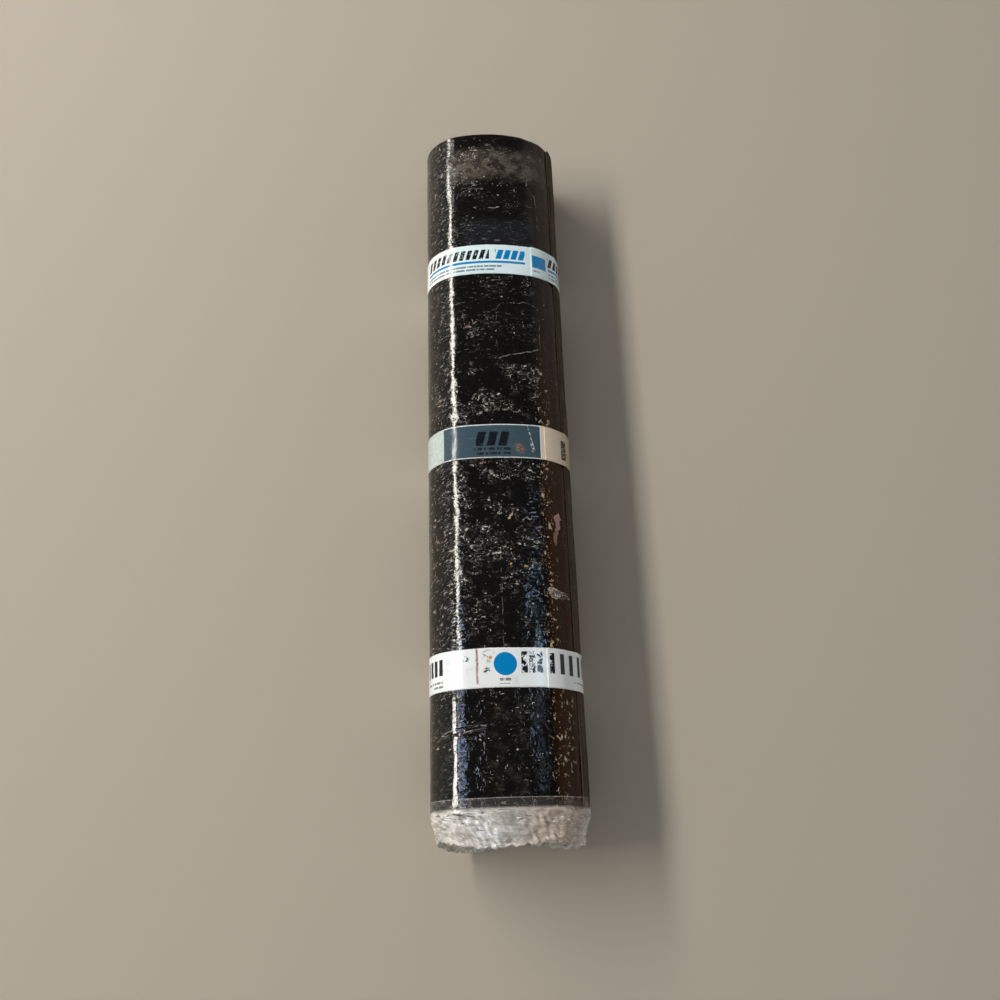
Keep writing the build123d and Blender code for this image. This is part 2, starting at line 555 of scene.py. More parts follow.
    def flecks(self, vector, size, share):
        """One fleck in some of the cells: size is its radius in cells, share how many cells have one."""
        grid = self.node("ShaderNodeTexVoronoi", voronoi_dimensions="3D", feature="F1")
        self.feed(grid.inputs["Vector"], vector)
        grid.inputs["Scale"].default_value = 1.0
        split = self.node("ShaderNodeSeparateColor")
        self.feed(split.inputs[0], grid.outputs["Color"])
        chosen = self.math("LESS_THAN", split.outputs[0], share)
        reach = self.line(split.outputs[1], size * 0.7, size * 0.5)
        inside = self.ramp(self.math("DIVIDE", grid.outputs["Distance"], reach), 1.0, 0.55)
        strength = self.line(split.outputs[2], 0.6, 0.4)
        return self.times(self.times(chosen, inside), strength)

    def strokes(self, vector, share, distortion=0.8):
        """Ragged strokes as wide as the vector's cells, covering about a sixth at a share of 1."""
        wave = self.noise(vector, 1.0, 3, 0.6, distortion)
        return self.ramp(self.minus(wave, self.line(share, -0.115, 0.705)), 0.0, 0.06)

    def creases(self, vector, width, share):
        """Thin broken lines that wander like creases: width is half a line's, in the noise's own height."""
        wave = self.noise(vector, 1.0, 3, 0.6, 0.7)
        off = self.math("ABSOLUTE", self.minus(wave, 0.5))
        gate = self.ramp(self.noise(vector, 0.61, 2, 0.5), 0.72 - 0.44 * share, 0.78 - 0.44 * share)
        return self.times(self.ramp(off, width, width * 0.3), gate)

    def between(self, value, low, high, soft):
        """1 between two values, with soft edges."""
        half = (high - low) / 2
        off = self.math("ABSOLUTE", self.minus(value, (low + high) / 2))
        return self.ramp(off, half + soft / 2, half - soft / 2)

    def band(self, value, low, high, soft=0.4):
        """1 between two places, with soft edges."""
        return self.between(value, low * MM, high * MM, soft * MM)

    def block(self, left, right, low, high, soft=0.4, at=None):
        """1 inside a rectangle of the unrolled surface."""
        across, along = at or self.unrolled()
        return self.times(self.band(across, left, right, soft), self.band(along, low, high, soft))

    def disc(self, middle_across, middle_along, radius, soft=0.5, at=None):
        """1 inside a circle of the unrolled surface."""
        across, along = at or self.unrolled()
        off_across = self.minus(across, middle_across * MM)
        off_along = self.minus(along, middle_along * MM)
        squares = self.plus(self.times(off_across, off_across), self.times(off_along, off_along))
        return self.fade(self.math("SQRT", squares), radius + soft / 2, radius - soft / 2)

    def rounded_frame(self, left, right, low, high, width, at):
        """1 on the outline of a rectangle with round corners."""
        total = 0.0
        for value, least, most in ((at[0], left, right), (at[1], low, high)):
            share = self.times(self.minus(value, (least + most) / 2 * MM), 2 / ((most - least) * MM))
            total = self.plus(total, self.math("POWER", self.math("ABSOLUTE", share), 5.0))
        off = self.math("ABSOLUTE", self.minus(total, 1.0))
        reach = 10 * width / (right - left + high - low)
        return self.ramp(off, reach, reach * 0.4)

    def paint(self, under, *layers):
        """Layers of colour over a first one, each with a mask that is 1 where it covers."""
        for colour, mask in layers:
            made = self.node("ShaderNodeMix", data_type="RGBA")
            self.feed(made.inputs["Factor"], mask)
            self.feed(made.inputs["A"], under if is_linkable(under) else [*under, 1])
            self.feed(made.inputs["B"], colour if is_linkable(colour) else [*colour, 1])
            under = made.outputs["Result"]
        return under

    def bump(self, height, distance):
        made = self.node("ShaderNodeBump")
        made.inputs["Strength"].default_value = 1.0
        made.inputs["Distance"].default_value = distance * MM
        self.feed(made.inputs["Height"], height)
        return made.outputs[0]

    def finish(self, **inputs):
        """The surface shader, with the named inputs set or linked."""
        surface = self.node("ShaderNodeBsdfPrincipled")
        for name, value in inputs.items():
            self.feed(surface.inputs[name.replace("_", " ")], value)
        output = self.node("ShaderNodeOutputMaterial")
        self.feed(output.inputs["Surface"], surface.outputs[0])
        return self.material


# How worn the film is along the roll: share of the roll's metre from the near end, and wear
WEAR_ALONG = (
    (0.0, 0.25), (0.06, 0.4), (0.14, 0.4), (0.24, 0.6), (0.32, 0.9), (0.42, 0.95), (0.47, 0.7),
    (0.53, 1.0), (0.585, 0.9), (0.61, 0.5), (0.69, 0.4), (0.72, 0.7), (0.79, 0.7), (0.82, 0.35),
    (0.885, 0.4), (0.92, 0.8), (0.955, 0.9), (0.985, 0.5),
)


def wear_stretches(nodes, along):
    """How worn the film is at a distance from the near end."""
    ramp = nodes.node("ShaderNodeValToRGB")
    ramp.color_ramp.interpolation = "EASE"
    stops = ramp.color_ramp.elements
    stops[0].position = WEAR_ALONG[0][0]
    stops[1].position = WEAR_ALONG[-1][0]
    for position, _ in WEAR_ALONG[1:-1]:
        stops.new(position)
    for stop, (_, amount) in zip(stops, WEAR_ALONG):
        stop.color = (amount, amount, amount, 1)
    nodes.feed(ramp.inputs[0], along)
    return ramp.outputs[0]


# Clumps of scuffed film: middle across and along, and reach
SCUFFED_CLUMPS = ((-16, 538, 17), (27, 583, 11), (56, 578, 8), (-27, 650, 11), (-13, 430, 8))


def scuffed_clumps(nodes):
    """Tangled scuffs that lie close together in a few round places."""
    places = [nodes.disc(across, along, reach, reach) for across, along, reach in SCUFFED_CLUMPS]
    tangle = nodes.strokes(nodes.ragged(10, 8, 43.0, 1.4, 0.8), 1.35, 1.8)
    uneven = nodes.ramp(nodes.clouds(9, 9, 47.0, 3), 0.4, 0.58, 0.1, 1)
    return nodes.times(tangle, nodes.times(uneven, nodes.either(*places)))


def film_flecks(nodes, wear):
    """Light strokes across, curls, ticks along and specks, in the worn stretches: partly real scuffs and
    dust, partly painted glints of the film's small wrinkles.
    """
    along = nodes.unrolled()[1]
    strokes = nodes.strokes(nodes.ragged(13, 4.2, 0.0, 1.3, 0.5), nodes.times(wear, 0.8))
    curls = nodes.strokes(nodes.cells(9, 8, 4.0), nodes.times(wear, 0.9), 2.8)
    ticks = nodes.strokes(nodes.cells(3.6, 10, 7.0), nodes.times(wear, 0.55))
    specks = nodes.flecks(nodes.ragged(5, 4.2, 3.0, 2.0, 0.8), 0.24, nodes.times(wear, 0.28))
    depth = nodes.ramp(nodes.clouds(13, 10, 13.0, 3), 0.43, 0.6, 0.05, 1)
    hairs = nodes.strokes(nodes.ragged(12, 2.2, 19.0, 1.2, 0.5), 0.7)
    hair_zone = nodes.times(nodes.band(along, 610, 890, 80), 0.2)
    gaps = nodes.ramp(nodes.surface_noise(22, 2, seed=0.7), 0.42, 0.62, 0.15, 1)
    hairs = nodes.times(nodes.times(hairs, hair_zone), gaps)
    broad = nodes.times(nodes.either(strokes, curls, ticks), depth)
    return nodes.either(broad, nodes.times(specks, 0.9), hairs)


# Panels whose outlines show through the film: left, right, low and high
GHOST_PANELS = ((-50, 76, 806, 898), (6, 70, 608, 697))


def ghost_frames(nodes):
    """Faint outlines of two plain panels and an arc that show through the film."""
    moved = nodes.wandering(70, 9)
    lines = [nodes.rounded_frame(*panel, 0.9, moved) for panel in GHOST_PANELS]
    arc_out, arc_in = [nodes.disc(8, 462, radius, 1, moved) for radius in (64, 62.6)]
    arc = nodes.times(arc_out, nodes.minus(1.0, arc_in))
    lines.append(nodes.times(arc, nodes.fade(nodes.unrolled()[1], 500, 506)))
    broken = nodes.ramp(nodes.surface_noise(130, 4, 0.75), 0.42, 0.54)
    faded = nodes.ramp(nodes.surface_noise(24, 1, seed=0.3), 0.46, 0.56)
    return nodes.times(nodes.either(*lines), nodes.times(broken, faded))


def film_scratches(nodes):
    """A long scratch above the middle tape, a bundle of creases at the near end and a seam."""
    across, along = nodes.unrolled()
    bend = nodes.times(nodes.minus(nodes.surface_noise(60, 2), 0.5), 8 * MM)
    rising = (across, nodes.plus(nodes.line(across, -0.28, along), bend))
    leaning = (across, nodes.plus(nodes.line(across, -0.09, along), bend))
    bent = (nodes.plus(across, nodes.times(bend, 0.5)), along)
    scratch = nodes.block(8, 66, 602.2, 603.4, 0.7, at=rising)
    strands = nodes.ramp(nodes.clouds(30, 1.5, detail=2, roughness=0.6, at=leaning), 0.5, 0.62)
    bundle = nodes.times(nodes.block(-84, -22, 93, 102, 3, at=leaning), strands)
    patchy = nodes.ramp(nodes.surface_noise(90, 3, 0.7), 0.46, 0.62)
    seam = nodes.times(nodes.block(1.8, 2.7, 170, 345, at=bent), nodes.times(patchy, 0.8))
    broken = nodes.ramp(nodes.clouds(6, 2, detail=3, roughness=0.7), 0.4, 0.5)
    return nodes.times(nodes.either(scratch, bundle, seam), broken)


def felt_film_material(felt):
    """The glossy black film on the felt's faces: creased, nicked and dusty, with painted glints and painted
    bluish highlights, and a painted reflection of the shaded floor in brown on the right side.
    """
    nodes = ShaderNodes("felt_film")
    across, along = nodes.unrolled()
    room = nodes.room()

    # Sides of the roll, and how worn the film is
    clouds = nodes.noise(room, 26, detail=3, roughness=0.65)
    left_side = nodes.fade(across, -56, -72)
    right_side = nodes.either(nodes.band(across, 65, 330, 14), nodes.fade(across, -330, -350))
    stretches = nodes.either(wear_stretches(nodes, along), nodes.times(left_side, 0.65))
    wear = nodes.times(stretches, nodes.ramp(clouds, 0.44, 0.58, 0.05, 1.12))
    plain_side = nodes.either(nodes.fade(across, 58, 72), nodes.fade(across, -330, -350, 0, 0.4))
    wear = nodes.times(wear, nodes.line(plain_side, -0.8, 1.0))
    plain_arc = nodes.times(nodes.disc(8, 462, 62, 3), nodes.fade(along, 485, 500))
    wear = nodes.times(wear, nodes.line(plain_arc, -0.75, 1.0))

    # Marks
    flecks = film_flecks(nodes, wear)
    uphill = nodes.plus(nodes.times(across, 0.9), nodes.times(along, 0.43))
    downhill = nodes.plus(nodes.times(along, 0.9), nodes.times(across, -0.43))
    dashes = nodes.strokes(nodes.ragged(7.5, 3.4, 15.0, 1.4, 0.7, at=(uphill, downhill)), 0.95)
    dash_zone = nodes.times(nodes.band(across, -150, -63, 14), nodes.fade(along, 40, 220, 0.3, 1))
    dashes = nodes.times(dashes, dash_zone)
    creases = nodes.creases(nodes.cells(7, 4, 5.0), 0.022, 0.45)
    creases = nodes.times(creases, nodes.ramp(wear, 0.1, 0.7, 0.2, 1.0))
    marks = nodes.either(ghost_frames(nodes), film_scratches(nodes))

    # Grit along the right shoulder, and painted highlights there: glints drawn in colour
    grit_zone = nodes.times(nodes.band(across, 57, 73, 12), nodes.fade(along, 640, 520))
    grit = nodes.times(nodes.flecks(nodes.ragged(3.4, 3.8, 21.0, 1.8, 0.9), 0.3, 0.42), grit_zone)
    glint_zone = nodes.times(nodes.band(across, 58, 78, 10), nodes.fade(along, 660, 560))
    glint_zone = nodes.either(glint_zone, nodes.block(60, 94, 24, 132, 12))
    glints = nodes.times(nodes.strokes(nodes.ragged(6, 8, 27.0, 1.6, 0.9), 0.9), glint_zone)

    # Dust, and painted bluish highlights near the near end and the far tape: a sheen and sparkles drawn in
    # colour
    scuff_fine = nodes.clouds(8, 3.2, 1.0, 5, 0.72)
    scuffs = nodes.times(nodes.ramp(scuff_fine, 0.5, 0.66), wear)
    dusty = nodes.times(nodes.band(along, 918, 968, 24), nodes.band(across, -56, 100, 30))
    blotches = nodes.ramp(nodes.noise(room, 60, 4, 0.65), 0.4, 0.6, 0.25, 1.0)
    dusty = nodes.times(dusty, nodes.times(blotches, nodes.ramp(scuff_fine, 0.34, 0.66, 0.5, 1.05)))
    clot_place = nodes.disc(-38, 936, 24, 36)
    clot_grid = nodes.ragged(3.6, 3.4, 29.0, 1.5, 0.9)
    clot = nodes.either(nodes.flecks(clot_grid, 0.42, 0.5), nodes.strokes(clot_grid, 0.3))
    clot = nodes.times(clot, clot_place)
    smudge = nodes.ramp(nodes.clouds(16, 20, 31.0, 4, 0.6), 0.5, 0.66)
    smudge = nodes.times(smudge, nodes.block(-22, 34, 14, 126, 16))
    smudge = nodes.times(smudge, nodes.ramp(scuff_fine, 0.4, 0.6, 0.3, 1))
    dust = nodes.plus(nodes.times(scuffs, 0.42), nodes.plus(dusty, nodes.times(clot_place, 0.2)))
    dust = nodes.either(dust, nodes.times(smudge, 0.26))
    sheen = nodes.times(nodes.strokes(nodes.ragged(14, 2.8, 35.0, 1.3, 0.5), 0.75), 0.9)
    sheen = nodes.times(nodes.plus(sheen, 0.1), nodes.block(-42, 62, 797, 838, 22))
    cold_ticks = nodes.strokes(nodes.ragged(3.4, 9, 37.0, 1.2, 0.6), 0.9)
    cold_ticks = nodes.times(cold_ticks, nodes.block(-37, -24, 20, 138, 6))
    bluish_highlights = nodes.either(nodes.times(sheen, 0.42), nodes.times(cold_ticks, 0.9))

    # Colour
    # The mask named thin holds a painted reflection: brown painted on the right side, strongest towards the
    # near end, standing for the shaded floor that the glossy film reflects.
    thin = nodes.times(right_side, nodes.fade(along, 700, 420, 0.42, 1.0))
    past_lap = nodes.times(nodes.fade(across, -385, -420), nodes.ramp(clouds, 0.3, 0.6, 0.7, 1.05))
    warm = nodes.either(nodes.times(left_side, 0.6), right_side)
    colour = nodes.paint(
        felt.film_black,
        (felt.film_brown_reflection, thin),
        (felt.dust, nodes.times(past_lap, 0.7)),
        (felt.dash, nodes.times(dashes, 0.85)),
        (felt.dust, nodes.math("MINIMUM", dust, 0.95)),
        (felt.fleck, nodes.times(clot, 0.7)),
        (felt.fleck, nodes.times(scuffed_clumps(nodes), 0.66)),
        # Painted bluish highlights: the sheen below the far tape and the sparkles near the near end.
        (felt.bluish_highlight, bluish_highlights),
        (felt.dust, nodes.times(creases, 0.5)),
        (felt.warm_fleck, grit),
        # Painted highlights: the glints along the right shoulder.
        (felt.glint, nodes.times(glints, 0.8)),
        # The flecks: real scuffs, and painted highlights of the film's wrinkles.
        (nodes.paint(felt.fleck, (felt.warm_fleck, warm)), nodes.times(flecks, 0.92)),
        (felt.fleck, nodes.times(marks, 0.36)),
    )

    # Relief: dimples all over, and dents where the film is crumpled under the clear film
    right_crumple = nodes.block(30, 68, -20, 352, 16)
    left_crumple = nodes.block(-57, -43, -20, 165, 5)
    crumpled = nodes.either(right_crumple, left_crumple)
    calm = nodes.fade(along, 145, 190, 0.4, 1.35)
    calm = nodes.times(calm, nodes.fade(along, 955, 985, 1.0, 0.5))
    calm = nodes.times(calm, nodes.line(right_crumple, -0.65, 1.0))
    dimples = nodes.times(nodes.clouds(9, 3.6, 5.0, distortion=0.5), calm)
    dents = nodes.times(nodes.minus(nodes.clouds(8, 10, 17.0, 1.5, distortion=1.0), 0.5), crumpled)
    relief = nodes.plus(dimples, nodes.times(nodes.clouds(2.2, 1.4, 9.0), 0.05))
    relief = nodes.plus(relief, nodes.times(dents, 2.6))
    relief = nodes.plus(relief, nodes.plus(nodes.times(creases, 0.4), nodes.times(flecks, 0.4)))

    # Gloss
    roughness = nodes.plus(nodes.times(dust, 0.3), nodes.times(flecks, 0.12))
    roughness = nodes.plus(roughness, nodes.line(right_side, 0.2, 0.065))
    level = nodes.plus(nodes.times(right_side, -0.33), nodes.line(left_side, -0.28, 0.5))
    level = nodes.plus(level, nodes.times(thin, -0.07))
    patches = nodes.minus(nodes.clouds(15, 22, 23.0, 3, 0.6, 0.6), nodes.fade(along, 140, 200, 0.57, 0.42))
    dull = nodes.minus(1.0, nodes.ramp(patches, -0.03, 0.05))
    dull = nodes.times(dull, nodes.either(right_crumple, nodes.times(left_crumple, 0.5)))
    sparkle = nodes.clouds(3.4, 4.6, 41.0, distortion=0.6)
    matt_cells = nodes.times(nodes.ramp(sparkle, 0.62, 0.5), nodes.times(crumpled, 0.8))
    level = nodes.times(level, nodes.line(nodes.either(dull, matt_cells), -0.9, 1.0))
    return nodes.finish(
        Base_Color=colour,
        Roughness=roughness,
        IOR=1.6,
        Specular_IOR_Level=level,
        Normal=nodes.bump(relief, 0.24),
    )


def end_edge_material(felt):
    """The sheet's cut end outside: bitumen grains over a lighter colour, which is a painted highlight of
    the edge where it catches the light.
    """
    nodes = ShaderNodes("end_edge")
    grain = nodes.noise(nodes.room(), 700, 4, 0.65)
    colour = nodes.paint(felt.end_edge, (felt.bitumen, nodes.ramp(grain, 0.5, 0.72)))
    return nodes.finish(Base_Color=colour, Roughness=0.42, Normal=nodes.bump(grain, 0.3))


def bitumen_material(felt):
    """The cut edges of the sheet: matt, grainy bitumen."""
    nodes = ShaderNodes("cut_bitumen")
    room = nodes.room()
    grain = nodes.noise(room, 900, 4, 0.65)
    smears = nodes.noise(room, 160, 3, 0.6)
    colour = nodes.paint(
        felt.bitumen,
        (felt.bitumen_grain, nodes.ramp(grain, 0.52, 0.8)),
        (felt.bitumen_smear, nodes.ramp(smears, 0.5, 0.75)),
    )
    normal = nodes.bump(nodes.plus(grain, smears), 0.5)
    return nodes.finish(Base_Color=colour, Roughness=0.62, Normal=normal)


def spiral_directions(winding, start, end, longest_step, widest_turn):
    """Directions from start to end, with steps no longer and no wider in angle than given."""
    fine = np.linspace(start, end, int((end - start) * 4))
    steps = np.diff(winding.length_at(fine)) / longest_step
    turns = np.diff(fine) / widest_turn
    cost = np.concatenate([[0], np.cumsum(np.maximum(steps, turns))])
    wanted = np.linspace(0, cost[-1], math.ceil(cost[-1]) + 1)
    return np.interp(wanted, cost, fine)


# Hidden turns: longest step of the mesh, widest one in degrees, and how far the skin reaches under the lap
LONGEST_STEP = 5 * MM
WIDEST_STEP = 9
UNDER_LAP = 9

# The air between two turns, the usual steps between them at the ends, and the slip at the far end
TURN_GAP = 0.12 * MM
TURN_STEP = 0.4 * MM
SLIP = 5.6 * MM

# Width of the first row of the mesh at both ends, where it is coarse
RIM_WIDTH = 12 * MM

# The rounding of the sheet's end edges: its reach along the sheet, and the depths of two points of it
EDGE_ROUNDING = 0.9 * MM
ROUNDING_START = 0.25 * MM
ROUNDING_END = 0.8 * MM


class FELT_OT_wind_roll(bpy.types.Operator):
    """Wind one sheet of felt into the squashed roll, with every turn on its ends"""

    bl_idname = "felt.wind_roll"
    bl_label = "Wind Felt Roll"

    def execute(self, context):
        felt = context.scene.felt_settings
        winding = Winding(felt)
        sheet = felt.sheet_thickness - TURN_GAP
        parts = MeshParts()

        hidden_end = winding.outer_turn_start - UNDER_LAP
        hidden = spiral_directions(winding, winding.inner, hidden_end, LONGEST_STEP, WIDEST_STEP)
        outer_steps = math.ceil(winding.girth / felt.grid)
        shown_lengths = np.linspace(winding.length_at(hidden_end), winding.skin_end, outer_steps + 4)
        shown = winding.direction_at(shown_lengths)[1:]

        first, last = EDGE_ROUNDING, ROLL_LENGTH - EDGE_ROUNDING
        coarse_rows = np.array([first, RIM_WIDTH, ROLL_LENGTH - RIM_WIDTH, last])
        fine_rows = np.linspace(first, last, math.ceil(ROLL_LENGTH / felt.grid))
        for row in coarse_rows[1:-1]:
            fine_rows[np.argmin(np.abs(fine_rows - row))] = row

        hidden_outer = self.lay(parts, winding, hidden, coarse_rows, 0.0)
        hidden_inner = self.lay(parts, winding, hidden, coarse_rows, sheet)
        shown_outer = self.lay_skin(parts, winding, shown, fine_rows)
        shown_inner = self.lay(parts, winding, shown, coarse_rows, sheet)
        inner_face = np.concatenate([hidden_inner, shown_inner])
        parts.add_strip(hidden_outer, flip=True)
        parts.add_strip(shown_outer, flip=True)
        parts.add_strip(inner_face)
        parts.join_rows(shown_outer[0], hidden_outer[-1], fine_rows, coarse_rows)

        directions = np.concatenate([hidden, shown])
        rings = []
        for row, near_side in ((0, True), (-1, False)):
            rim = np.concatenate([hidden_outer[:, row], shown_outer[:, row]])
            inner = inner_face[:, row]
            rings.append(self.add_edge(parts, winding, directions, sheet, rim, inner, near_side))

        parts.join_rows(shown_outer[-1], shown_inner[-1], fine_rows, coarse_rows, 2)
        lips = np.stack([hidden_outer[0], hidden_inner[0]])
        for cell in range(len(coarse_rows) - 1):
            parts.add_face([*lips[0, cell : cell + 2], *lips[1, cell : cell + 2][::-1]], 1)
        near_ring, far_ring = rings
        for corners in (near_ring[0], near_ring[-1][::-1], far_ring[0][::-1], far_ring[-1]):
            parts.add_face(corners, 1)

        materials = [felt_film_material(felt), bitumen_material(felt), end_edge_material(felt)]
        roll = parts.make("felt_sheet", materials)
        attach(roll, BODY)
        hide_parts("felt_roll")
        return {"FINISHED"}

    def end_shift(self, direction, length, along):
        """How far the sheet's ends lie inside the roll's length: small steps between turns, and a slip."""
        turn = direction / 360
        near_waves, far_waves = [plane_waves(seed, 8, 60 * MM, 300 * MM) for seed in (21, 22)]
        near = TURN_STEP * np.clip(1.3 + near_waves(length, turn * 40 * MM), 0, 3)
        far = TURN_STEP * np.clip(1.3 + far_waves(length, turn * 55 * MM), 0, 3)
        local = (direction + 180) % 360 - 180
        slipped = smooth_step(88 - local, 0, 22) * smooth_step(local, -70, -20)
        far = far + SLIP * slipped * smooth_step(turn, 3, 10)
        near_share = 1 - smooth_step(along, 0, 30 * MM)
        far_share = smooth_step(along, ROLL_LENGTH - 40 * MM, ROLL_LENGTH)
        return near * near_share - far * far_share

    def add_grid(self, parts, winding, direction, along, depth):
        """A grid of points at a depth below the sheet's outer face."""
        length = winding.length_at(direction)
        x, z, _, _ = winding.place(direction, depth)
        y = near_y(along) + self.end_shift(direction, length, along)
        return parts.add_vertices(x, y, z, winding.across(length), along)

    def lay(self, parts, winding, directions, rows, depth):
        """A plain stretch of the sheet's outer or inner face."""
        return self.add_grid(parts, winding, directions[:, None], rows[None, :], depth)

    def lay_skin(self, parts, winding, directions, rows):
        """The outer face where it shows, with its dents, a wavy cut end and a worn edge there."""
        along = rows[None, :]
        lengths = winding.length_at(directions)[:, None]
        slack = plane_waves(23, 6, 90 * MM, 400 * MM)(0.0, along) * 0.8 * MM
        weight = smooth_step(lengths, winding.skin_end - 40 * MM, winding.skin_end)
        direction = winding.direction_at(lengths - weight * (0.9 * MM + slack) * 0.8)
        length = winding.length_at(direction)
        fade = smooth_step(length, winding.skin_start - 6 * MM, winding.skin_start + 4 * MM)
        worn_end = smooth_step(length, winding.skin_end - 7 * MM, winding.skin_end) ** 2
        sink = skin_relief(winding.across(length), along) * fade + 1.5 * MM * worn_end
        return self.add_grid(parts, winding, direction, along, sink)

    def add_edge(self, parts, winding, directions, sheet, outer, inner, near_side):
        """The sheet's end edge, rounded into both faces, for one end of the roll."""
        inset = np.array([ROUNDING_START, 0.0, 0.0, 0.0, ROUNDING_START])[None, :]
        depth = [ROUNDING_START, ROUNDING_END, sheet / 2, sheet - ROUNDING_END, sheet - ROUNDING_START]
        depth = np.array(depth)[None, :]
        along = inset if near_side else ROLL_LENGTH - inset
        inward = 1 if near_side else -1
        direction = directions[:, None]
        length = winding.length_at(direction)
        x, z, _, _ = winding.place(direction, depth)
        fray = plane_waves(24, 14, 3 * MM, 14 * MM)(length, depth * 6) * 0.14 * MM
        y = near_y(along) + self.end_shift(direction, length, along)
        y = y + inward * (0.14 * MM + np.abs(fray))
        numbers = parts.add_vertices(x, y, z, winding.across(length), along - depth)
        ring = np.concatenate([outer[:, None], numbers, inner[:, None]], axis=1)
        parts.add_strip(ring, 1, flip=not near_side)
        return ring


class Wrap:
    """The section of something wound once round the roll, from its cut end to its start below.

    The cut end lies on top. From there the wrap runs down the right side as a second layer, straight
    over the sheet's outer end, and round under the roll until it passes below its own cut end.
    """

    upper_points = 120
    lower_points = 3000

    def __init__(self, winding, stand_off, layer, cut_end, step):
        base = 360 * (winding.turns - 1)
        radius = winding.bore_radius + winding.turns * winding.sheet + stand_off
        bridge = math.degrees(math.acos((radius - winding.sheet) / radius))
        landing = base + winding.lap + bridge
        upper = np.linspace(base + cut_end, landing, self.upper_points)
        lower = np.linspace(winding.outer_turn_end, landing, self.lower_points)
        placed_upper = winding.place(upper, -stand_off - layer)
        placed_lower = winding.place(lower, -stand_off)
        x, z, normal_x, normal_z = [np.concatenate(pair) for pair in zip(placed_upper, placed_lower)]
        run = np.concatenate([[0], np.cumsum(np.hypot(np.diff(x), np.diff(z)))])
        self.total = run[-1]
        self.run = np.linspace(0, self.total, math.ceil(self.total / step) + 1)
        self.x, self.z, self.normal_x, self.normal_z = [
            np.interp(self.run, run, values) for values in (x, z, normal_x, normal_z)
        ]
        skin = winding.across(winding.length_at(np.concatenate([upper, lower])))
        self.cut_across = skin[0]
        self.landing_across = skin[-1]
        bridge_start = run[len(upper) - 1]
        bridge_end = run[len(upper)]
        past_bridge = self.landing_across + self.run - self.total
        self.skin = np.where(self.run < bridge_end, self.cut_across + self.run, past_bridge)
        off_skin = hump(self.run, (bridge_start + bridge_end) / 2, bridge_end - bridge_start)
        self.on_skin = 1 - off_skin

    def spot(self, across):
        """Distance from the cut end to a place so far right of the crown, both in millimetres."""
        cut, landing = self.cut_across / MM, self.landing_across / MM
        return across - cut if across >= cut else self.total / MM + across - landing

    def faces(self, out, thickness, shape):
        """Both faces of a sheet that stands so far out. Shape makes its points from x, z and the depth."""
        grids = []
        for depth in (thickness, 0.0):
            x = self.x[:, None] + self.normal_x[:, None] * (out + depth)
            z = self.z[:, None] + self.normal_z[:, None] * (out + depth)
            grids.append(np.stack(np.broadcast_arrays(*shape(x, z, depth)), -1))
        return grids


class WrapNodes(ShaderNodes):
    """Shader nodes of something wrapped round the roll, whose unrolled surface starts at its cut end.

    Patches, spots, bars and rules take their places to the right of the roll's crown, and all of them
    take their places along from the wrap's own middle.
    """

    def __init__(self, name, wrap):
        super().__init__(name)
        self.wrap = wrap

    def patch(self, left, right, low, high, soft=0.4, at=None):
        return self.block(self.wrap.spot(left), self.wrap.spot(right), low, high, soft, at)

    def spot(self, middle_across, middle_along, radius, soft=0.5, at=None):
        return self.disc(self.wrap.spot(middle_across), middle_along, radius, soft, at)

    def bars(self, left, right, low, high, pitch, bar, lean=0.0):
        """A row of leaning bars, like a plain border. Bar is the share of the pitch that one fills."""
        across, along = self.unrolled()
        leaning = self.line(along, -lean, across)
        from_left = self.minus(leaning, self.wrap.spot(left) * MM)
        phase = self.math("FRACT", self.math("DIVIDE", from_left, pitch * MM))
        return self.times(self.between(phase, 0.0, bar, 0.05), self.patch(left, right, low, high))

    def rule(self, left, right, middle, height, dash):
        """A thin broken rule, as dashes of uneven length."""
        dashes = self.vector(self.times(self.unrolled()[0], 1 / (dash * MM)), middle * 0.9)
        dashes = self.ramp(self.noise(dashes, 1.0, 1), 0.41, 0.45)
        return self.times(dashes, self.patch(left, right, middle - height / 2, middle + height / 2))

    def worn(self, mask, least, seed, size=3.2):
        """A printed mask with flaked-off places."""
        flakes = self.clouds(size, size, seed, 4, 0.7, 0.8)
        return self.times(mask, self.ramp(flakes, least, least + 0.06))


# Half a tape's width, in millimetres
HALF_TAPE = 25


def tape_base(nodes, tape):
    """White plastic tape with smudges and darker grime along its edges."""
    room = nodes.room()
    smudge = nodes.ramp(nodes.noise(room, 55, 4, 0.65), 0.55, 0.8)
    edge = nodes.fade(nodes.math("ABSOLUTE", nodes.unrolled()[1]), HALF_TAPE - 1.2, HALF_TAPE)
    speckle = nodes.ramp(nodes.noise(room, 420, 3, 0.7), 0.45, 0.62)
    return nodes.paint(
        tape.white,
        (srgb(168, 160, 150), nodes.times(smudge, 0.35)),
        (srgb(120, 112, 104), nodes.times(nodes.times(edge, speckle), 0.7)),
    )


def tape_finish(nodes, colour, print_mask):
    """Glossy tape whose surface has fine wrinkles across it."""
    wrinkle = nodes.clouds(5, 9, detail=3, roughness=0.55, distortion=0.6)
    relief = nodes.plus(wrinkle, nodes.times(nodes.clouds(1.5, 2, 4.0), 0.2))
    roughness = nodes.line(print_mask, -0.04, 0.17)
    return nodes.finish(Base_Color=colour, Roughness=roughness, Normal=nodes.bump(relief, 0.2))


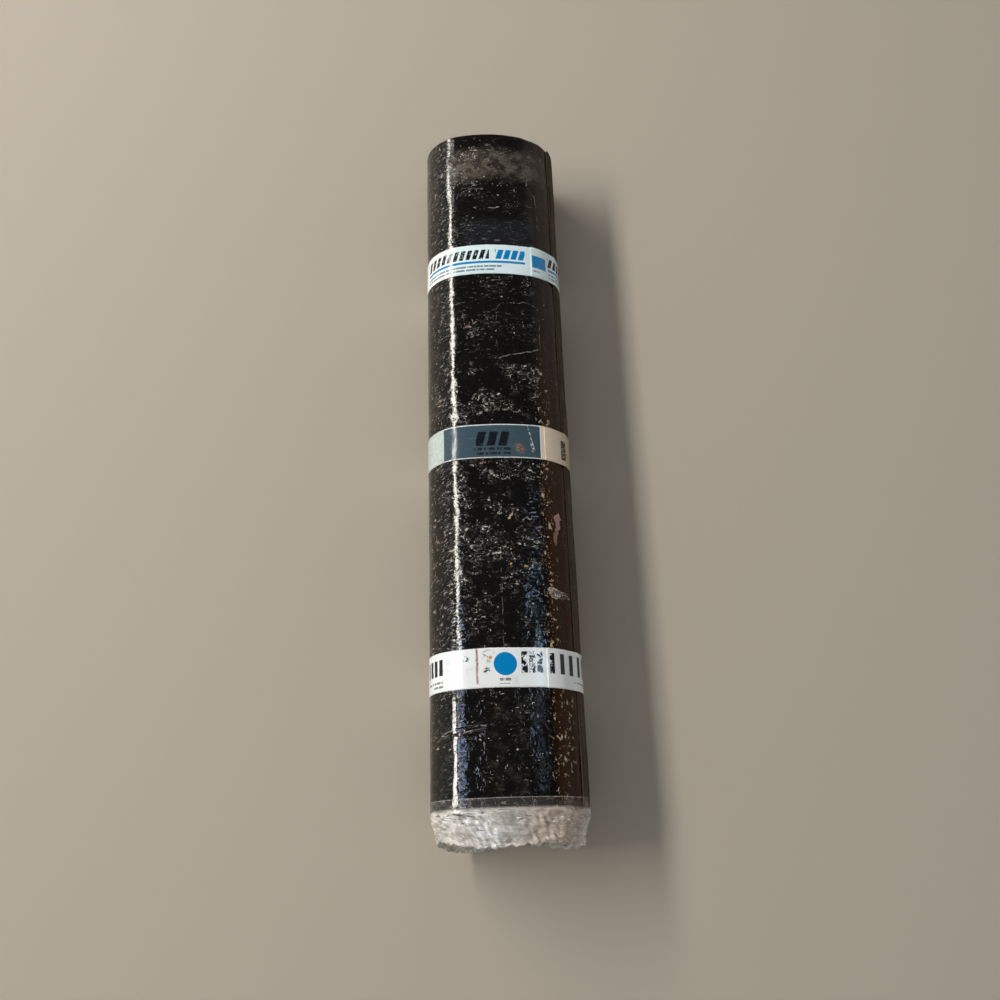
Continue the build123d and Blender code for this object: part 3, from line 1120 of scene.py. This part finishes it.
def far_tape_material(tape, wrap):
    """White tape with leaning dark and blue bars, a blue rule and a plain blue square."""
    nodes = WrapNodes("far_tape", wrap)
    across = nodes.unrolled()[0]
    pale = nodes.either(nodes.fade(across, wrap.spot(-70), wrap.spot(-58)), nodes.fade(across, 60, 50))
    dark = nodes.worn(nodes.bars(-105, -1, 0, 16, 9.8, 0.66, 0.3), 0.36, 2.0)
    side_bars = nodes.bars(91, 150, 0, 16, 9.8, 0.66, 0.3)
    blue = nodes.either(
        nodes.bars(8, 52, 0, 16, 11, 0.74, 0.3),
        nodes.patch(-105, 52, -6.9, -3.2),
        nodes.patch(63, 87, -10, 11),
        nodes.patch(92, 150, -6.9, -3.2),
    )
    blue = nodes.worn(blue, 0.28, 5.0)
    small = nodes.either(
        nodes.rule(-105, 18, -12.4, 3, 2),
        nodes.rule(-105, 6, -18, 3, 2),
        nodes.rule(63, 76, -16, 2.4, 1.6),
        nodes.rule(93, 130, -12.4, 3, 2),
        nodes.rule(93, 122, -18, 3, 2),
    )
    colour = nodes.paint(
        tape_base(nodes, tape),
        (srgb(232, 251, 255), nodes.times(pale, 0.9)),
        (srgb(84, 104, 126), nodes.times(small, 0.85)),
        (tape.blue, blue),
        (tape.ink, nodes.either(dark, side_bars)),
    )
    return tape_finish(nodes, colour, blue)


def middle_tape_material(tape, wrap):
    """Tape with a slate panel that holds plain dark bars, white to its left and cream to its right."""
    nodes = WrapNodes("middle_tape", wrap)
    across, along = nodes.unrolled()
    before_cut = nodes.band(across, wrap.spot(62.9), wrap.total / MM + 5)
    cream = nodes.either(nodes.band(across, -1, 90, 1), before_cut)
    shaded = nodes.times(nodes.fade(across, 18, 42), nodes.fade(across, 110, 90))
    left_part = nodes.patch(-150, -74, -26, 26)
    tangled = nodes.times(left_part, nodes.creases(nodes.cells(5, 4, 2.0), 0.05, 1.0))
    panel = nodes.patch(-74, 62, -23.6, 23.6)
    bars = nodes.bars(-27, 19, -7, 14, 16, 0.72, 0.25)
    small = nodes.either(nodes.rule(-29, 20, -11.6, 3.8, 3.2), nodes.rule(-26, 20, -18.4, 3.4, 3.2))
    side_mark = nodes.worn(nodes.patch(98, 108, -17, 12), 0.4, 3.0)
    moved = nodes.wandering(160, 2.2, at=(nodes.line(along, 0.26, across), along))
    scratch = nodes.worn(nodes.patch(49.5, 51, -13, 24, at=moved), 0.48, 9.0, 2.4)
    scar = nodes.worn(nodes.patch(46, 50.6, -16, -3, 2, at=moved), 0.5, 9.0)
    rust = nodes.either(nodes.spot(30, -11, 6.4, 6, at=moved), nodes.patch(20, 34, -9, -8))
    dirty = nodes.ramp(nodes.clouds(11, 3, 6.0, 4, 0.7), 0.56, 0.72)
    colour = nodes.paint(
        tape_base(nodes, tape),
        (srgb(242, 218, 190), nodes.times(cream, 0.85)),
        (srgb(158, 132, 104), nodes.times(shaded, 0.5)),
        (srgb(190, 206, 200), nodes.times(left_part, 0.8)),
        # Painted shade: the crinkled left part is darker along its creases.
        (srgb(150, 164, 158), nodes.times(tangled, 0.55)),
        (tape.slate, nodes.worn(panel, 0.2, 6.0)),
        (tape.ink, nodes.either(bars, nodes.times(small, 0.9), side_mark)),
        (srgb(226, 230, 232), nodes.either(scratch, scar)),
        (srgb(168, 116, 82), nodes.worn(rust, 0.5, 8.0)),
        (srgb(216, 178, 138), nodes.worn(rust, 0.6, 11.0, 2)),
        (srgb(142, 150, 146), nodes.times(dirty, 0.4)),
    )
    return tape_finish(nodes, colour, panel)


def near_tape_material(tape, wrap):
    """White tape with a plain blue disc and a worn scale of dark bars."""
    nodes = WrapNodes("near_tape", wrap)
    across, along = nodes.unrolled()
    disc = nodes.spot(3.5, 4.5, 14.6)
    left_bars = nodes.bars(-118, -80, -4.5, 16, 10.5, 0.66)
    right_bars = nodes.worn(nodes.bars(23.5, 51, -7, 20, 10, 0.8), 0.45, 4.0, 7)
    side_bars = nodes.bars(60, 140, -7, 19, 15, 0.45)
    flakes = nodes.clouds(5.5, 5.5, 3.0, 4, 0.7, 0.8)
    kept = nodes.math("GREATER_THAN", flakes, nodes.fade(across, 3, 12, 0.48, 0.28))
    dark = nodes.either(right_bars, nodes.times(side_bars, kept))
    small = nodes.either(
        nodes.rule(-118, -80, -13, 2.6, 2.2),
        nodes.rule(-100, -80, -18.4, 2.6, 2.2),
        nodes.rule(-4, 10, -15, 3.4, 1.2),
        nodes.patch(-4, 9, -20.6, -19.8),
        nodes.rule(98, 130, -15, 1.6, 1.8),
    )
    stain = nodes.patch(-33.4, -30.6, -20, 26, 1.2, at=nodes.wandering(90, 3))
    dark_stain = nodes.times(stain, nodes.fade(along, -4, 4, 0.3, 1))
    spots = nodes.either(nodes.spot(-18, 15, 7, 7), nodes.spot(-20, -3, 4.5, 4), nodes.spot(-46, 12, 4, 4))
    colour = nodes.paint(
        tape_base(nodes, tape),
        (tape.blue, nodes.worn(disc, 0.24, 5.0)),
        (tape.ink, nodes.either(left_bars, dark)),
        (tape.ink, nodes.times(small, 0.75)),
        (srgb(176, 122, 92), nodes.times(nodes.worn(stain, 0.36, 1.0), 0.85)),
        (srgb(104, 66, 50), nodes.worn(dark_stain, 0.54, 7.0)),
        (srgb(222, 160, 70), nodes.spot(-15, 12.6, 2.2, 2)),
        (srgb(50, 42, 38), nodes.worn(spots, 0.51, 12.0, 7)),
    )
    return tape_finish(nodes, colour, disc)


# The tapes: name, CAD node, direction of the cut end, how far out of square it is wound, and material
TAPES = (
    ("near_tape", "band_near", 75.0, -0.5, near_tape_material),
    ("middle_tape", "band_middle", 64.0, -0.7, middle_tape_material),
    ("far_tape", "band_far", 71.0, -0.8, far_tape_material),
)

# A tape's mesh: its step round the roll, its columns, and the seed of the first one's waves
TAPE_STEP = 1.9 * MM
TAPE_COLUMNS = 27
FIRST_TAPE_SEED = 31

# Gaps between a tape's two layers, and between a tape and the floor
LAYER_GAP = 0.06 * MM
FLOOR_GAP = 0.02 * MM


class FELT_OT_wrap_tapes(bpy.types.Operator):
    """Wrap the three printed tapes round the roll"""

    bl_idname = "felt.wrap_tapes"
    bl_label = "Wrap Tapes"

    def execute(self, context):
        winding = Winding(context.scene.felt_settings)
        for seed, tape in enumerate(TAPES, FIRST_TAPE_SEED):
            self.wrap(context.scene.tape_settings, winding, seed, *tape)
        return {"FINISHED"}

    def wrap(self, tape, winding, seed, name, node, cut_end, skew, material):
        low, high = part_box(node)
        middle = (low.y + high.y) / 2 - FELT_LOW.y
        half_width = HALF_TAPE * MM
        wrap = Wrap(winding, tape.stand_off, tape.thickness + LAYER_GAP, cut_end, TAPE_STEP)
        width = np.linspace(-half_width, half_width, TAPE_COLUMNS)[None, :]
        lean = math.tan(math.radians(skew))
        run = wrap.run[:, None]
        wave = plane_waves(seed, 5, 60 * MM, 200 * MM)(run, 0.0) * 0.25 * MM
        along = middle + width + lean * wrap.x[:, None] + wave
        sink = 0.8 * skin_relief(wrap.skin[:, None], along) * wrap.on_skin[:, None]
        crinkle = folds(seed + 10, 7, 5 * MM, 16 * MM)(run, width)
        left_side = hump(run, wrap.spot(-95) * MM, 40 * MM)
        lift = 0.1 * MM * (1 + crinkle) * (0.35 + left_side)
        corner = (1 - smooth_step(run, 0, 7 * MM)) * smooth_step(np.abs(width), 0, half_width)
        lift = np.clip(lift, 0, 0.3 * MM) + 0.25 * MM * corner
        out = lift - np.minimum(sink, 1 * MM)

        def shape(x, z, depth):
            return x, near_y(along), np.maximum(z, FLOOR_GAP + depth)

        parts = MeshParts()
        parts.add_sheet(*wrap.faces(out, tape.thickness, shape), run, width)
        piece = parts.make(name, [material(tape, wrap)])
        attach(piece, BODY)
        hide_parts(node)


def clear_film_material(film, wrap):
    """Clear stretch film: hardly seen over the felt, milky in the folds of its free length."""
    nodes = WrapNodes("clear_film", wrap)
    across, along = nodes.unrolled()
    cloud = nodes.clouds(34, 13, distortion=0.8)
    folds_across = nodes.creases(nodes.cells(30, 6.5, 4.0), 0.03, 0.75)
    folds_aslant = nodes.creases(nodes.cells(11, 13, 8.0), 0.022, 0.5)
    lines = nodes.either(folds_across, nodes.times(folds_aslant, 0.7))
    free = nodes.fade(along, 2, -3)
    hem = nodes.band(along, 11.2, 13, 0.6)
    bunched = nodes.spot(-24, -42, 24, 24, at=(across, nodes.times(along, 1.6)))
    upper_left = nodes.band(across, wrap.spot(-95), wrap.spot(-20), 30)
    upper_left = nodes.times(upper_left, nodes.band(along, -17, -1, 8))
    glint_share = nodes.line(nodes.either(bunched, nodes.times(upper_left, 0.6)), 1.3, 0.8)
    glints = nodes.times(nodes.strokes(nodes.ragged(16, 3.4, 11.0, 1.1, 0.5), glint_share), free)
    shades = nodes.strokes(nodes.ragged(18, 4.2, 14.0, 1.3, 0.6), nodes.line(upper_left, 1.0, 0.7))
    shine = nodes.ramp(nodes.clouds(13, 7, 33.0, 3, 0.6, 1.0), 0.44, 0.56)
    shine = nodes.times(shine, nodes.spot(-24, -29, 15, 16))
    milky = nodes.plus(nodes.ramp(cloud, 0.38, 0.62, 0.3, 0.74), nodes.times(lines, 0.16))
    milky = nodes.plus(milky, nodes.times(shine, 0.8), clamp=True)
    milky = nodes.either(milky, nodes.times(glints, 0.95))
    over_felt = nodes.plus(nodes.times(lines, 0.15), nodes.line(hem, 0.2, 0.02))
    alpha = nodes.plus(nodes.times(milky, free), nodes.times(over_felt, nodes.minus(1.0, free)))
    relief = nodes.plus(nodes.times(cloud, 0.7), nodes.times(lines, 0.5))
    right_side = nodes.fade(across, wrap.spot(-6), wrap.spot(56))
    right_side = nodes.plus(right_side, nodes.fade(across, 60, 20), clamp=True)
    shaded = nodes.times(nodes.times(shades, free), nodes.line(right_side, -0.45, 0.85))
    # Painted light on the film: the shaded tint on the right and the fold shade are painted shade, and the
    # glint colour on its glints, shine and folds is a painted highlight.
    colour = nodes.paint(
        film.tint,
        (film.shaded_tint, right_side),
        (film.fold_shade, shaded),
        (film.glint, nodes.either(glints, shine, nodes.times(lines, 0.25))),
    )
    normal = nodes.bump(relief, 1.1)
    return nodes.finish(Base_Color=colour, Roughness=0.1, IOR=1.6, Alpha=alpha, Normal=normal)


# The film's slack, how far its second layer stands off the first, and the direction of its cut end
FILM_STAND_OFF = 0.25 * MM
FILM_LAYER = 0.2 * MM
FILM_CUT_END = 62.0

# The film's mesh: its steps round the roll and along it
FILM_STEP = 1.35 * MM
FILM_ROW = 1.3 * MM

# How far the film stays inside its box
BOX_MARGIN = 0.1 * MM


class FELT_OT_crumple_film(bpy.types.Operator):
    """Wrap the clear film round the near end and crumple its free length"""

    bl_idname = "felt.crumple_film"
    bl_label = "Crumple End Film"

    def execute(self, context):
        film = context.scene.film_settings
        winding = Winding(context.scene.felt_settings)
        cover = FILM_HIGH.y - FELT_LOW.y
        skirt = FELT_LOW.y - FILM_LOW.y
        wrap = Wrap(winding, FILM_STAND_OFF, FILM_LAYER, FILM_CUT_END, FILM_STEP)
        out = np.linspace(-cover, skirt, math.ceil((cover + skirt) / FILM_ROW) + 1)[None, :]
        run = wrap.run[:, None]
        past = np.clip(out / skirt, 0, 1)
        lobes = plane_waves(42, 5, 60 * MM, 220 * MM)(run, 0.0)
        lobes = lobes + 0.35 * plane_waves(47, 6, 9 * MM, 24 * MM)(run, 0.0)
        reach = np.clip(1 - 0.055 * (1.3 + lobes) * smooth_step(out, 0, skirt), 0.7, 1)

        middle_z = winding.middle_z
        side = np.abs(wrap.x[:, None]) / FELT_HIGH.x
        above = wrap.z[:, None] > middle_z
        squeeze_x = 1 - film.draw_in / FELT_HIGH.x * smooth_step(past, 0.0, 0.9)
        squeeze_z = 1 - np.where(above, 0.12, 0.0) * smooth_step(past, 0.0, 1.0) * (1 - 0.5 * side)

        hoops = folds(43, 5, 8 * MM, 18 * MM, (math.pi / 2, 0.25))(run, out)
        facets = folds(44, 7, 16 * MM, 44 * MM)(run, out)
        pleats = folds(45, 5, 9 * MM, 22 * MM, (0.0, 0.3))(run, out)
        fine = folds(46, 6, 4 * MM, 8 * MM)(run, out)
        free = smooth_step(out, -1 * MM, 16 * MM)
        loose = smooth_step(out, 8 * MM, skirt)
        bends = 0.42 * hoops + 0.5 * facets + 0.2 * loose * pleats
        height = film.crumple * free * bends + 0.06 * MM * free * fine
        on_roll = 0.1 * MM * (1.2 + fine) * (1 - free)
        height = height - 0.9 * MM * free + np.clip(on_roll, 0, 0.3 * MM)
        rest = 0.15 * MM + 0.5 * MM * free * (1 + facets)

        def shape(x, z, depth):
            x = np.clip(x * squeeze_x, FILM_LOW.x + BOX_MARGIN, FILM_HIGH.x - BOX_MARGIN)
            z = middle_z + (z - middle_z) * squeeze_z
            z = np.clip(np.maximum(z, rest + depth), 0, FILM_HIGH.z - BOX_MARGIN)
            return x, FELT_LOW.y - out * reach, z

        parts = MeshParts()
        parts.add_sheet(*wrap.faces(height, film.thickness, shape), run, -out)
        piece = parts.make("clear_film", [clear_film_material(film, wrap)])
        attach(piece, BODY)
        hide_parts("end_film")
        return {"FINISHED"}


# Torn scraps, in millimetres: place across and along, length, width, turn in degrees, and colour
SCRAPS = (
    (83, 364, 25, 13, 250, "pink"),
    (79, 343, 26, 9, 258, "tan"),
    (17, 369, 13, 4.2, 62, "straw"),
    (35, 299, 5, 3.4, 10, "gold"),
    (15, 302, 4, 2.4, 40, "gold"),
    (46, 304, 3, 2.2, 0, "straw"),
    (89, 966, 7, 3.2, 85, "grey"),
    (-72, 934, 9, 5, 70, "grey"),
    (-86, 905, 6, 4, 20, "grey"),
    (-24, 664, 7, 2.6, 35, "tan"),
    (-36, 658, 5, 2.2, 10, "tan"),
    (-19, 446, 6, 4, 30, "tan"),
)

# Groups of grit, in millimetres: middle across and along, spread across and along, count, and colour
GRIT_GROUPS = (
    (65, 290, 4, 130, 90, "straw"),
    (66, 430, 6, 40, 34, "tan"),
    (-30, 662, 9, 5, 22, "tan"),
    (20, 935, 45, 18, 70, "grey"),
    (30, 555, 30, 22, 36, "grey"),
    (0, 400, 40, 60, 40, "grey"),
    (52, 305, 10, 5, 12, "gold"),
)

# Grit lies no nearer to the ends than this, in millimetres from the near end
GRIT_NEAREST = 16
GRIT_FARTHEST = 990

DIRT_COLOURS = ("pink", "tan", "straw", "gold", "grey")
DIRT_SEED = 61

# A flake's thickness, its gap to the felt, and how far it stays below the top of the whole object
FLAKE_THICKNESS = 0.1 * MM
FLAKE_GAP = 0.12 * MM
CEILING_GAP = 0.05 * MM

# How far a torn flake reaches to its sides, from one end to the other
FLAKE_OUTLINE = np.array([0.3, 0.8, 1, 1, 1, 0.8, 0.5, 0.15])


def dirt_material(name, colour):
    """Matt, earthy grit and scraps, darker in patches."""
    nodes = ShaderNodes(name)
    tone = nodes.noise(nodes.room(), 900, 3, 0.6)
    shaded = [0.45 * value for value in colour]
    painted = nodes.paint(colour, (shaded, nodes.ramp(tone, 0.45, 0.7)))
    return nodes.finish(Base_Color=painted, Roughness=0.6, Normal=nodes.bump(tone, 0.3))


def clear_scrap_material(film):
    """A torn scrap of clear film, milky in its folds."""
    nodes = ShaderNodes("clear_scrap")
    cloud = nodes.noise(nodes.room(), 160, 4, 0.7, 0.8)
    folded = nodes.times(nodes.creases(nodes.cells(9, 6), 0.035, 0.9), 0.5)
    alpha = nodes.plus(nodes.ramp(cloud, 0.42, 0.62, 0.05, 0.2), folded)
    # The glint colour on the folds is a painted highlight.
    colour = nodes.paint(film.shaded_tint, (film.glint, folded))
    normal = nodes.bump(cloud, 1.2)
    return nodes.finish(Base_Color=colour, Roughness=0.12, IOR=1.6, Alpha=alpha, Normal=normal)


class FELT_OT_scatter_dirt(bpy.types.Operator):
    """Scatter torn scraps, grit and one scrap of clear film on the roll"""

    bl_idname = "felt.scatter_dirt"
    bl_label = "Scatter Dirt"

    def execute(self, context):
        dirt = context.scene.dirt_settings
        winding = Winding(context.scene.felt_settings)
        materials = [dirt_material(f"{name}_dirt", list(getattr(dirt, name))) for name in DIRT_COLOURS]
        random = np.random.default_rng(DIRT_SEED)

        scraps = MeshParts()
        for across, along, length, width, turn, colour in SCRAPS:
            place = (across * MM, along * MM)
            size = (length * MM, width * MM)
            number = DIRT_COLOURS.index(colour)
            self.add_flake(scraps, winding, random, place, size, turn, 0.5 * MM, 12, number)
        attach(scraps.make("scraps", materials), BODY)

        grit = MeshParts()
        for across, along, spread_across, spread_along, count, colour in GRIT_GROUPS:
            number = DIRT_COLOURS.index(colour)
            for _ in range(count):
                place_across = across + random.normal(0, spread_across)
                place_along = np.clip(along + random.normal(0, spread_along), GRIT_NEAREST, GRIT_FARTHEST)
                place = (place_across * MM, place_along * MM)
                length = 2 * dirt.grain * random.uniform(0.5, 1.5)
                size = (length, length * random.uniform(0.4, 0.9))
                turn = random.uniform(0, 180)
                self.add_flake(grit, winding, random, place, size, turn, 0.1 * MM, 3, number)
        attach(grit.make("grit", materials), BODY)

        clear = MeshParts()
        self.add_flake(clear, winding, random, (80 * MM, 265 * MM), (36 * MM, 17 * MM), -18, 1.4 * MM, 18)
        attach(clear.make("clear_scrap", [clear_scrap_material(context.scene.film_settings)]), BODY)
        return {"FINISHED"}

    def add_flake(self, parts, winding, random, place, size, turn, lift, cells, material=0):
        """A thin ragged flake that follows the roll, with crumpled ground and a raised rim."""
        across, along = place
        length, width = size
        share = np.linspace(-1, 1, cells + 1)
        first, second = np.meshgrid(share, share, indexing="ij")
        rim = np.maximum(np.abs(first), np.abs(second))
        corners = np.linspace(-1, 1, len(FLAKE_OUTLINE))
        reach = random.uniform(0.45, 1.0, (2, len(corners))) * FLAKE_OUTLINE
        upper, lower = [np.interp(first, corners, values) for values in reach]
        side = np.where(second > 0, upper, lower)
        sway = 0.35 * np.interp(first, corners, random.uniform(-1, 1, len(corners)))
        jag = 0.12 * np.interp(second, corners, random.uniform(-1, 1, len(corners)))
        long_way = (first + jag) * length / 2
        cross_way = (second * side + sway) * width / 2
        angle = math.radians(turn)
        at_across = across + long_way * math.cos(angle) - cross_way * math.sin(angle)
        at_along = along + long_way * math.sin(angle) + cross_way * math.cos(angle)
        crumple = folds(int(random.integers(1000)), 4, 0.25 * length, 0.7 * length)(at_across, at_along)
        height = FLAKE_GAP + lift * np.clip(0.5 + 0.5 * crumple, 0, 1) * (0.3 + 0.7 * rim**2)
        height = height - skin_relief(at_across, at_along)
        direction = winding.direction_at(winding.crown_length - at_across)
        faces = []
        for depth in (FLAKE_THICKNESS, 0.0):
            x, z, _, _ = winding.place(direction, -(height + depth))
            z = np.minimum(z, CAD_BOX[1][2] - CEILING_GAP)
            faces.append(np.stack([x, near_y(at_along), z], -1))
        parts.add_sheet(*faces, at_across, at_along, material)


# Half the floor's width, in metres
FLOOR_REACH = 12

STREAK_COLOUR = (1, 0.96, 0.86)

# Lamps that only draw reflections: name, both ends in metres, width, share of the set brightness, colour
STREAK_LAMPS = (
    ("near_streak_lamp", (-4.22, -0.9, 2.78), (-4.22, 0.62, 2.78), 0.75, 1.25, STREAK_COLOUR),
    ("far_streak_lamp", (-3.44, 0.85, 3.73), (-3.87, 4.65, 3.1), 0.62, 1, STREAK_COLOUR),
    ("end_streak_lamp", (-3.8, 4.7, 3.35), (-3.0, 4.86, 4.12), 0.12, 0.8, STREAK_COLOUR),
)
SKY_LAMPS = (
    ("left_sky_lamp", (-3.3, -0.15, 4), (-3.3, 0.62, 4), 1.6, 1, (0.52, 0.66, 1)),
    ("right_sky_lamp", (1.9, -0.1, 4), (1.9, 0.98, 4), 0.4, 0.85, (0.5, 0.72, 1)),
)

# Height in metres that the lamps face
LIT_HEIGHT = 0.1

# The hall's walls are pale up to one height of view and dark from another, as sines of the angle
PALE_UP_TO = 0.1
DARK_FROM = 0.75

# The camera: its place, then in degrees how far it looks down, its heading and its roll, and its lens
CAMERA_PLACE = (-0.0192, FELT_LOW.y - 0.0925, 1.369)
CAMERA_DOWN = 68.6
CAMERA_HEADING = -2.13
CAMERA_ROLL = -0.42
CAMERA_LENS = 36
CAMERA_SENSOR = 36


class FELT_OT_set_stage(bpy.types.Operator):
    """Lay the floor, hang the lamps and set up the camera"""

    bl_idname = "felt.set_stage"
    bl_label = "Set Stage"

    def execute(self, context):
        stage = context.scene.stage_settings
        self.lay_floor(stage)
        self.hang_lamps(stage)
        self.paint_surroundings(context.scene, stage)
        self.aim_camera(context.scene)
        context.scene.view_settings.view_transform = "Standard"
        return {"FINISHED"}

    def lay_floor(self, stage):
        mesh = bpy.data.meshes.new("floor")
        corners = [(FLOOR_REACH * x, FLOOR_REACH * y, 0) for x, y in ((-1, -1), (1, -1), (1, 1), (-1, 1))]
        mesh.from_pydata(corners, [], [(0, 1, 2, 3)])
        floor = bpy.data.objects.new("floor", mesh)
        bpy.context.scene.collection.objects.link(floor)
        nodes = ShaderNodes("plain_floor")
        mesh.materials.append(nodes.finish(Base_Color=[*stage.floor, 1], Roughness=0.9))

    def hang_lamps(self, stage):
        """Two wide lamps light the room, and narrow ones draw the reflections."""
        warm, cool = (1, 0.975, 0.93), (0.93, 0.97, 1)
        strip = self.hang("strip_lamp", (-3.7, -1, 3.35), (-3.7, 5.8, 3.35), 0.62, stage.strip_power, warm)
        fill = self.hang("fill_lamp", (0, -4.5, 6), (0, 4.5, 6), 9, stage.fill_power, cool)
        for lamp in (strip, fill):
            lamp.visible_glossy = False
        mirrored = ((STREAK_LAMPS, stage.streak_brightness), (SKY_LAMPS, stage.sky_brightness))
        for lamps, brightness in mirrored:
            for name, start, end, width, share, colour in lamps:
                area = width * (Vector(end) - Vector(start)).length
                lamp = self.hang(name, start, end, width, share * brightness * math.pi * area, colour)
                lamp.visible_diffuse = False

    def hang(self, name, start, end, width, power, colour):
        """A rectangular lamp that runs from one point to another and faces the roll."""
        start, end = Vector(start), Vector(end)
        middle = (start + end) / 2
        lamp = bpy.data.lights.new(name, "AREA")
        lamp.shape = "RECTANGLE"
        lamp.size = width
        lamp.size_y = (end - start).length
        lamp.energy = power
        lamp.color = colour
        holder = bpy.data.objects.new(name, lamp)
        holder.visible_camera = False
        along = (end - start).normalized()
        sideways = along.cross(middle - Vector((0, middle.y, LIT_HEIGHT))).normalized()
        towards_lamp = sideways.cross(along)
        turn = Matrix((sideways, along, towards_lamp)).transposed().to_4x4()
        holder.matrix_world = Matrix.Translation(middle) @ turn
        bpy.context.scene.collection.objects.link(holder)
        return holder

    def paint_surroundings(self, scene, stage):
        """Pale at eye level and dark overhead, like a large hall."""
        world = bpy.data.worlds.new("hall")
        scene.world = world
        world.use_nodes = True
        tree = world.node_tree
        tree.nodes.clear()
        direction = tree.nodes.new("ShaderNodeTexCoord")
        split = tree.nodes.new("ShaderNodeSeparateXYZ")
        height = tree.nodes.new("ShaderNodeMapRange")
        height.interpolation_type = "SMOOTHSTEP"
        height.inputs["From Min"].default_value = PALE_UP_TO
        height.inputs["From Max"].default_value = DARK_FROM
        blend = tree.nodes.new("ShaderNodeMix")
        blend.data_type = "RGBA"
        blend.inputs["A"].default_value = [*stage.horizon, 1]
        blend.inputs["B"].default_value = [*stage.zenith, 1]
        background = tree.nodes.new("ShaderNodeBackground")
        output = tree.nodes.new("ShaderNodeOutputWorld")
        tree.links.new(direction.outputs["Generated"], split.inputs[0])
        tree.links.new(split.outputs["Z"], height.inputs["Value"])
        tree.links.new(height.outputs[0], blend.inputs["Factor"])
        tree.links.new(blend.outputs["Result"], background.inputs["Color"])
        tree.links.new(background.outputs[0], output.inputs["Surface"])

    def aim_camera(self, scene):
        """A camera above the near end that looks steeply down along the roll."""
        down, heading, roll = [math.radians(turn) for turn in (CAMERA_DOWN, CAMERA_HEADING, CAMERA_ROLL)]
        level = Vector((math.cos(heading), math.sin(heading), 0))
        ahead = Vector((-math.sin(heading), math.cos(heading), 0))
        forward = math.cos(down) * ahead - math.sin(down) * Vector((0, 0, 1))
        upright = level.cross(forward)
        right = math.cos(roll) * level - math.sin(roll) * upright
        up = math.sin(roll) * level + math.cos(roll) * upright
        camera = bpy.data.cameras.new("camera")
        camera.lens = CAMERA_LENS
        camera.sensor_width = CAMERA_SENSOR
        camera.clip_start = 0.05
        holder = bpy.data.objects.new("camera", camera)
        turn = Matrix((right, up, -forward)).transposed().to_4x4()
        holder.matrix_world = Matrix.Translation(CAMERA_PLACE) @ turn
        scene.collection.objects.link(holder)
        scene.camera = holder


class VIEW3D_PT_felt_roll(bpy.types.Panel):
    """Lists the pieces of the roll and their settings"""

    bl_label = "Felt Roll"
    bl_idname = "VIEW3D_PT_felt_roll"
    bl_space_type = "VIEW_3D"
    bl_region_type = "UI"
    bl_category = "Felt Roll"

    def draw(self, context):
        layout = self.layout
        for operator in OPERATORS:
            layout.operator(operator.bl_idname)
        for group in SETTINGS:
            settings = getattr(context.scene, group)
            box = layout.box()
            for name in settings.__annotations__:
                box.prop(settings, name)


OPERATORS = (
    FELT_OT_wind_roll,
    FELT_OT_wrap_tapes,
    FELT_OT_crumple_film,
    FELT_OT_scatter_dirt,
    FELT_OT_set_stage,
)
SETTINGS = {
    "felt_settings": FeltSettings,
    "tape_settings": TapeSettings,
    "film_settings": FilmSettings,
    "dirt_settings": DirtSettings,
    "stage_settings": StageSettings,
}
CLASSES = (*SETTINGS.values(), *OPERATORS, VIEW3D_PT_felt_roll)


def register():
    for made in CLASSES:
        bpy.utils.register_class(made)
    for name, settings in SETTINGS.items():
        setattr(bpy.types.Scene, name, bpy.props.PointerProperty(type=settings))


def unregister():
    for name in SETTINGS:
        delattr(bpy.types.Scene, name)
    for made in reversed(CLASSES):
        bpy.utils.unregister_class(made)


def main():
    register()
    bpy.ops.felt.wind_roll()
    bpy.ops.felt.wrap_tapes()
    bpy.ops.felt.crumple_film()
    bpy.ops.felt.scatter_dirt()
    bpy.ops.felt.set_stage()


if __name__ == "__main__":
    main()
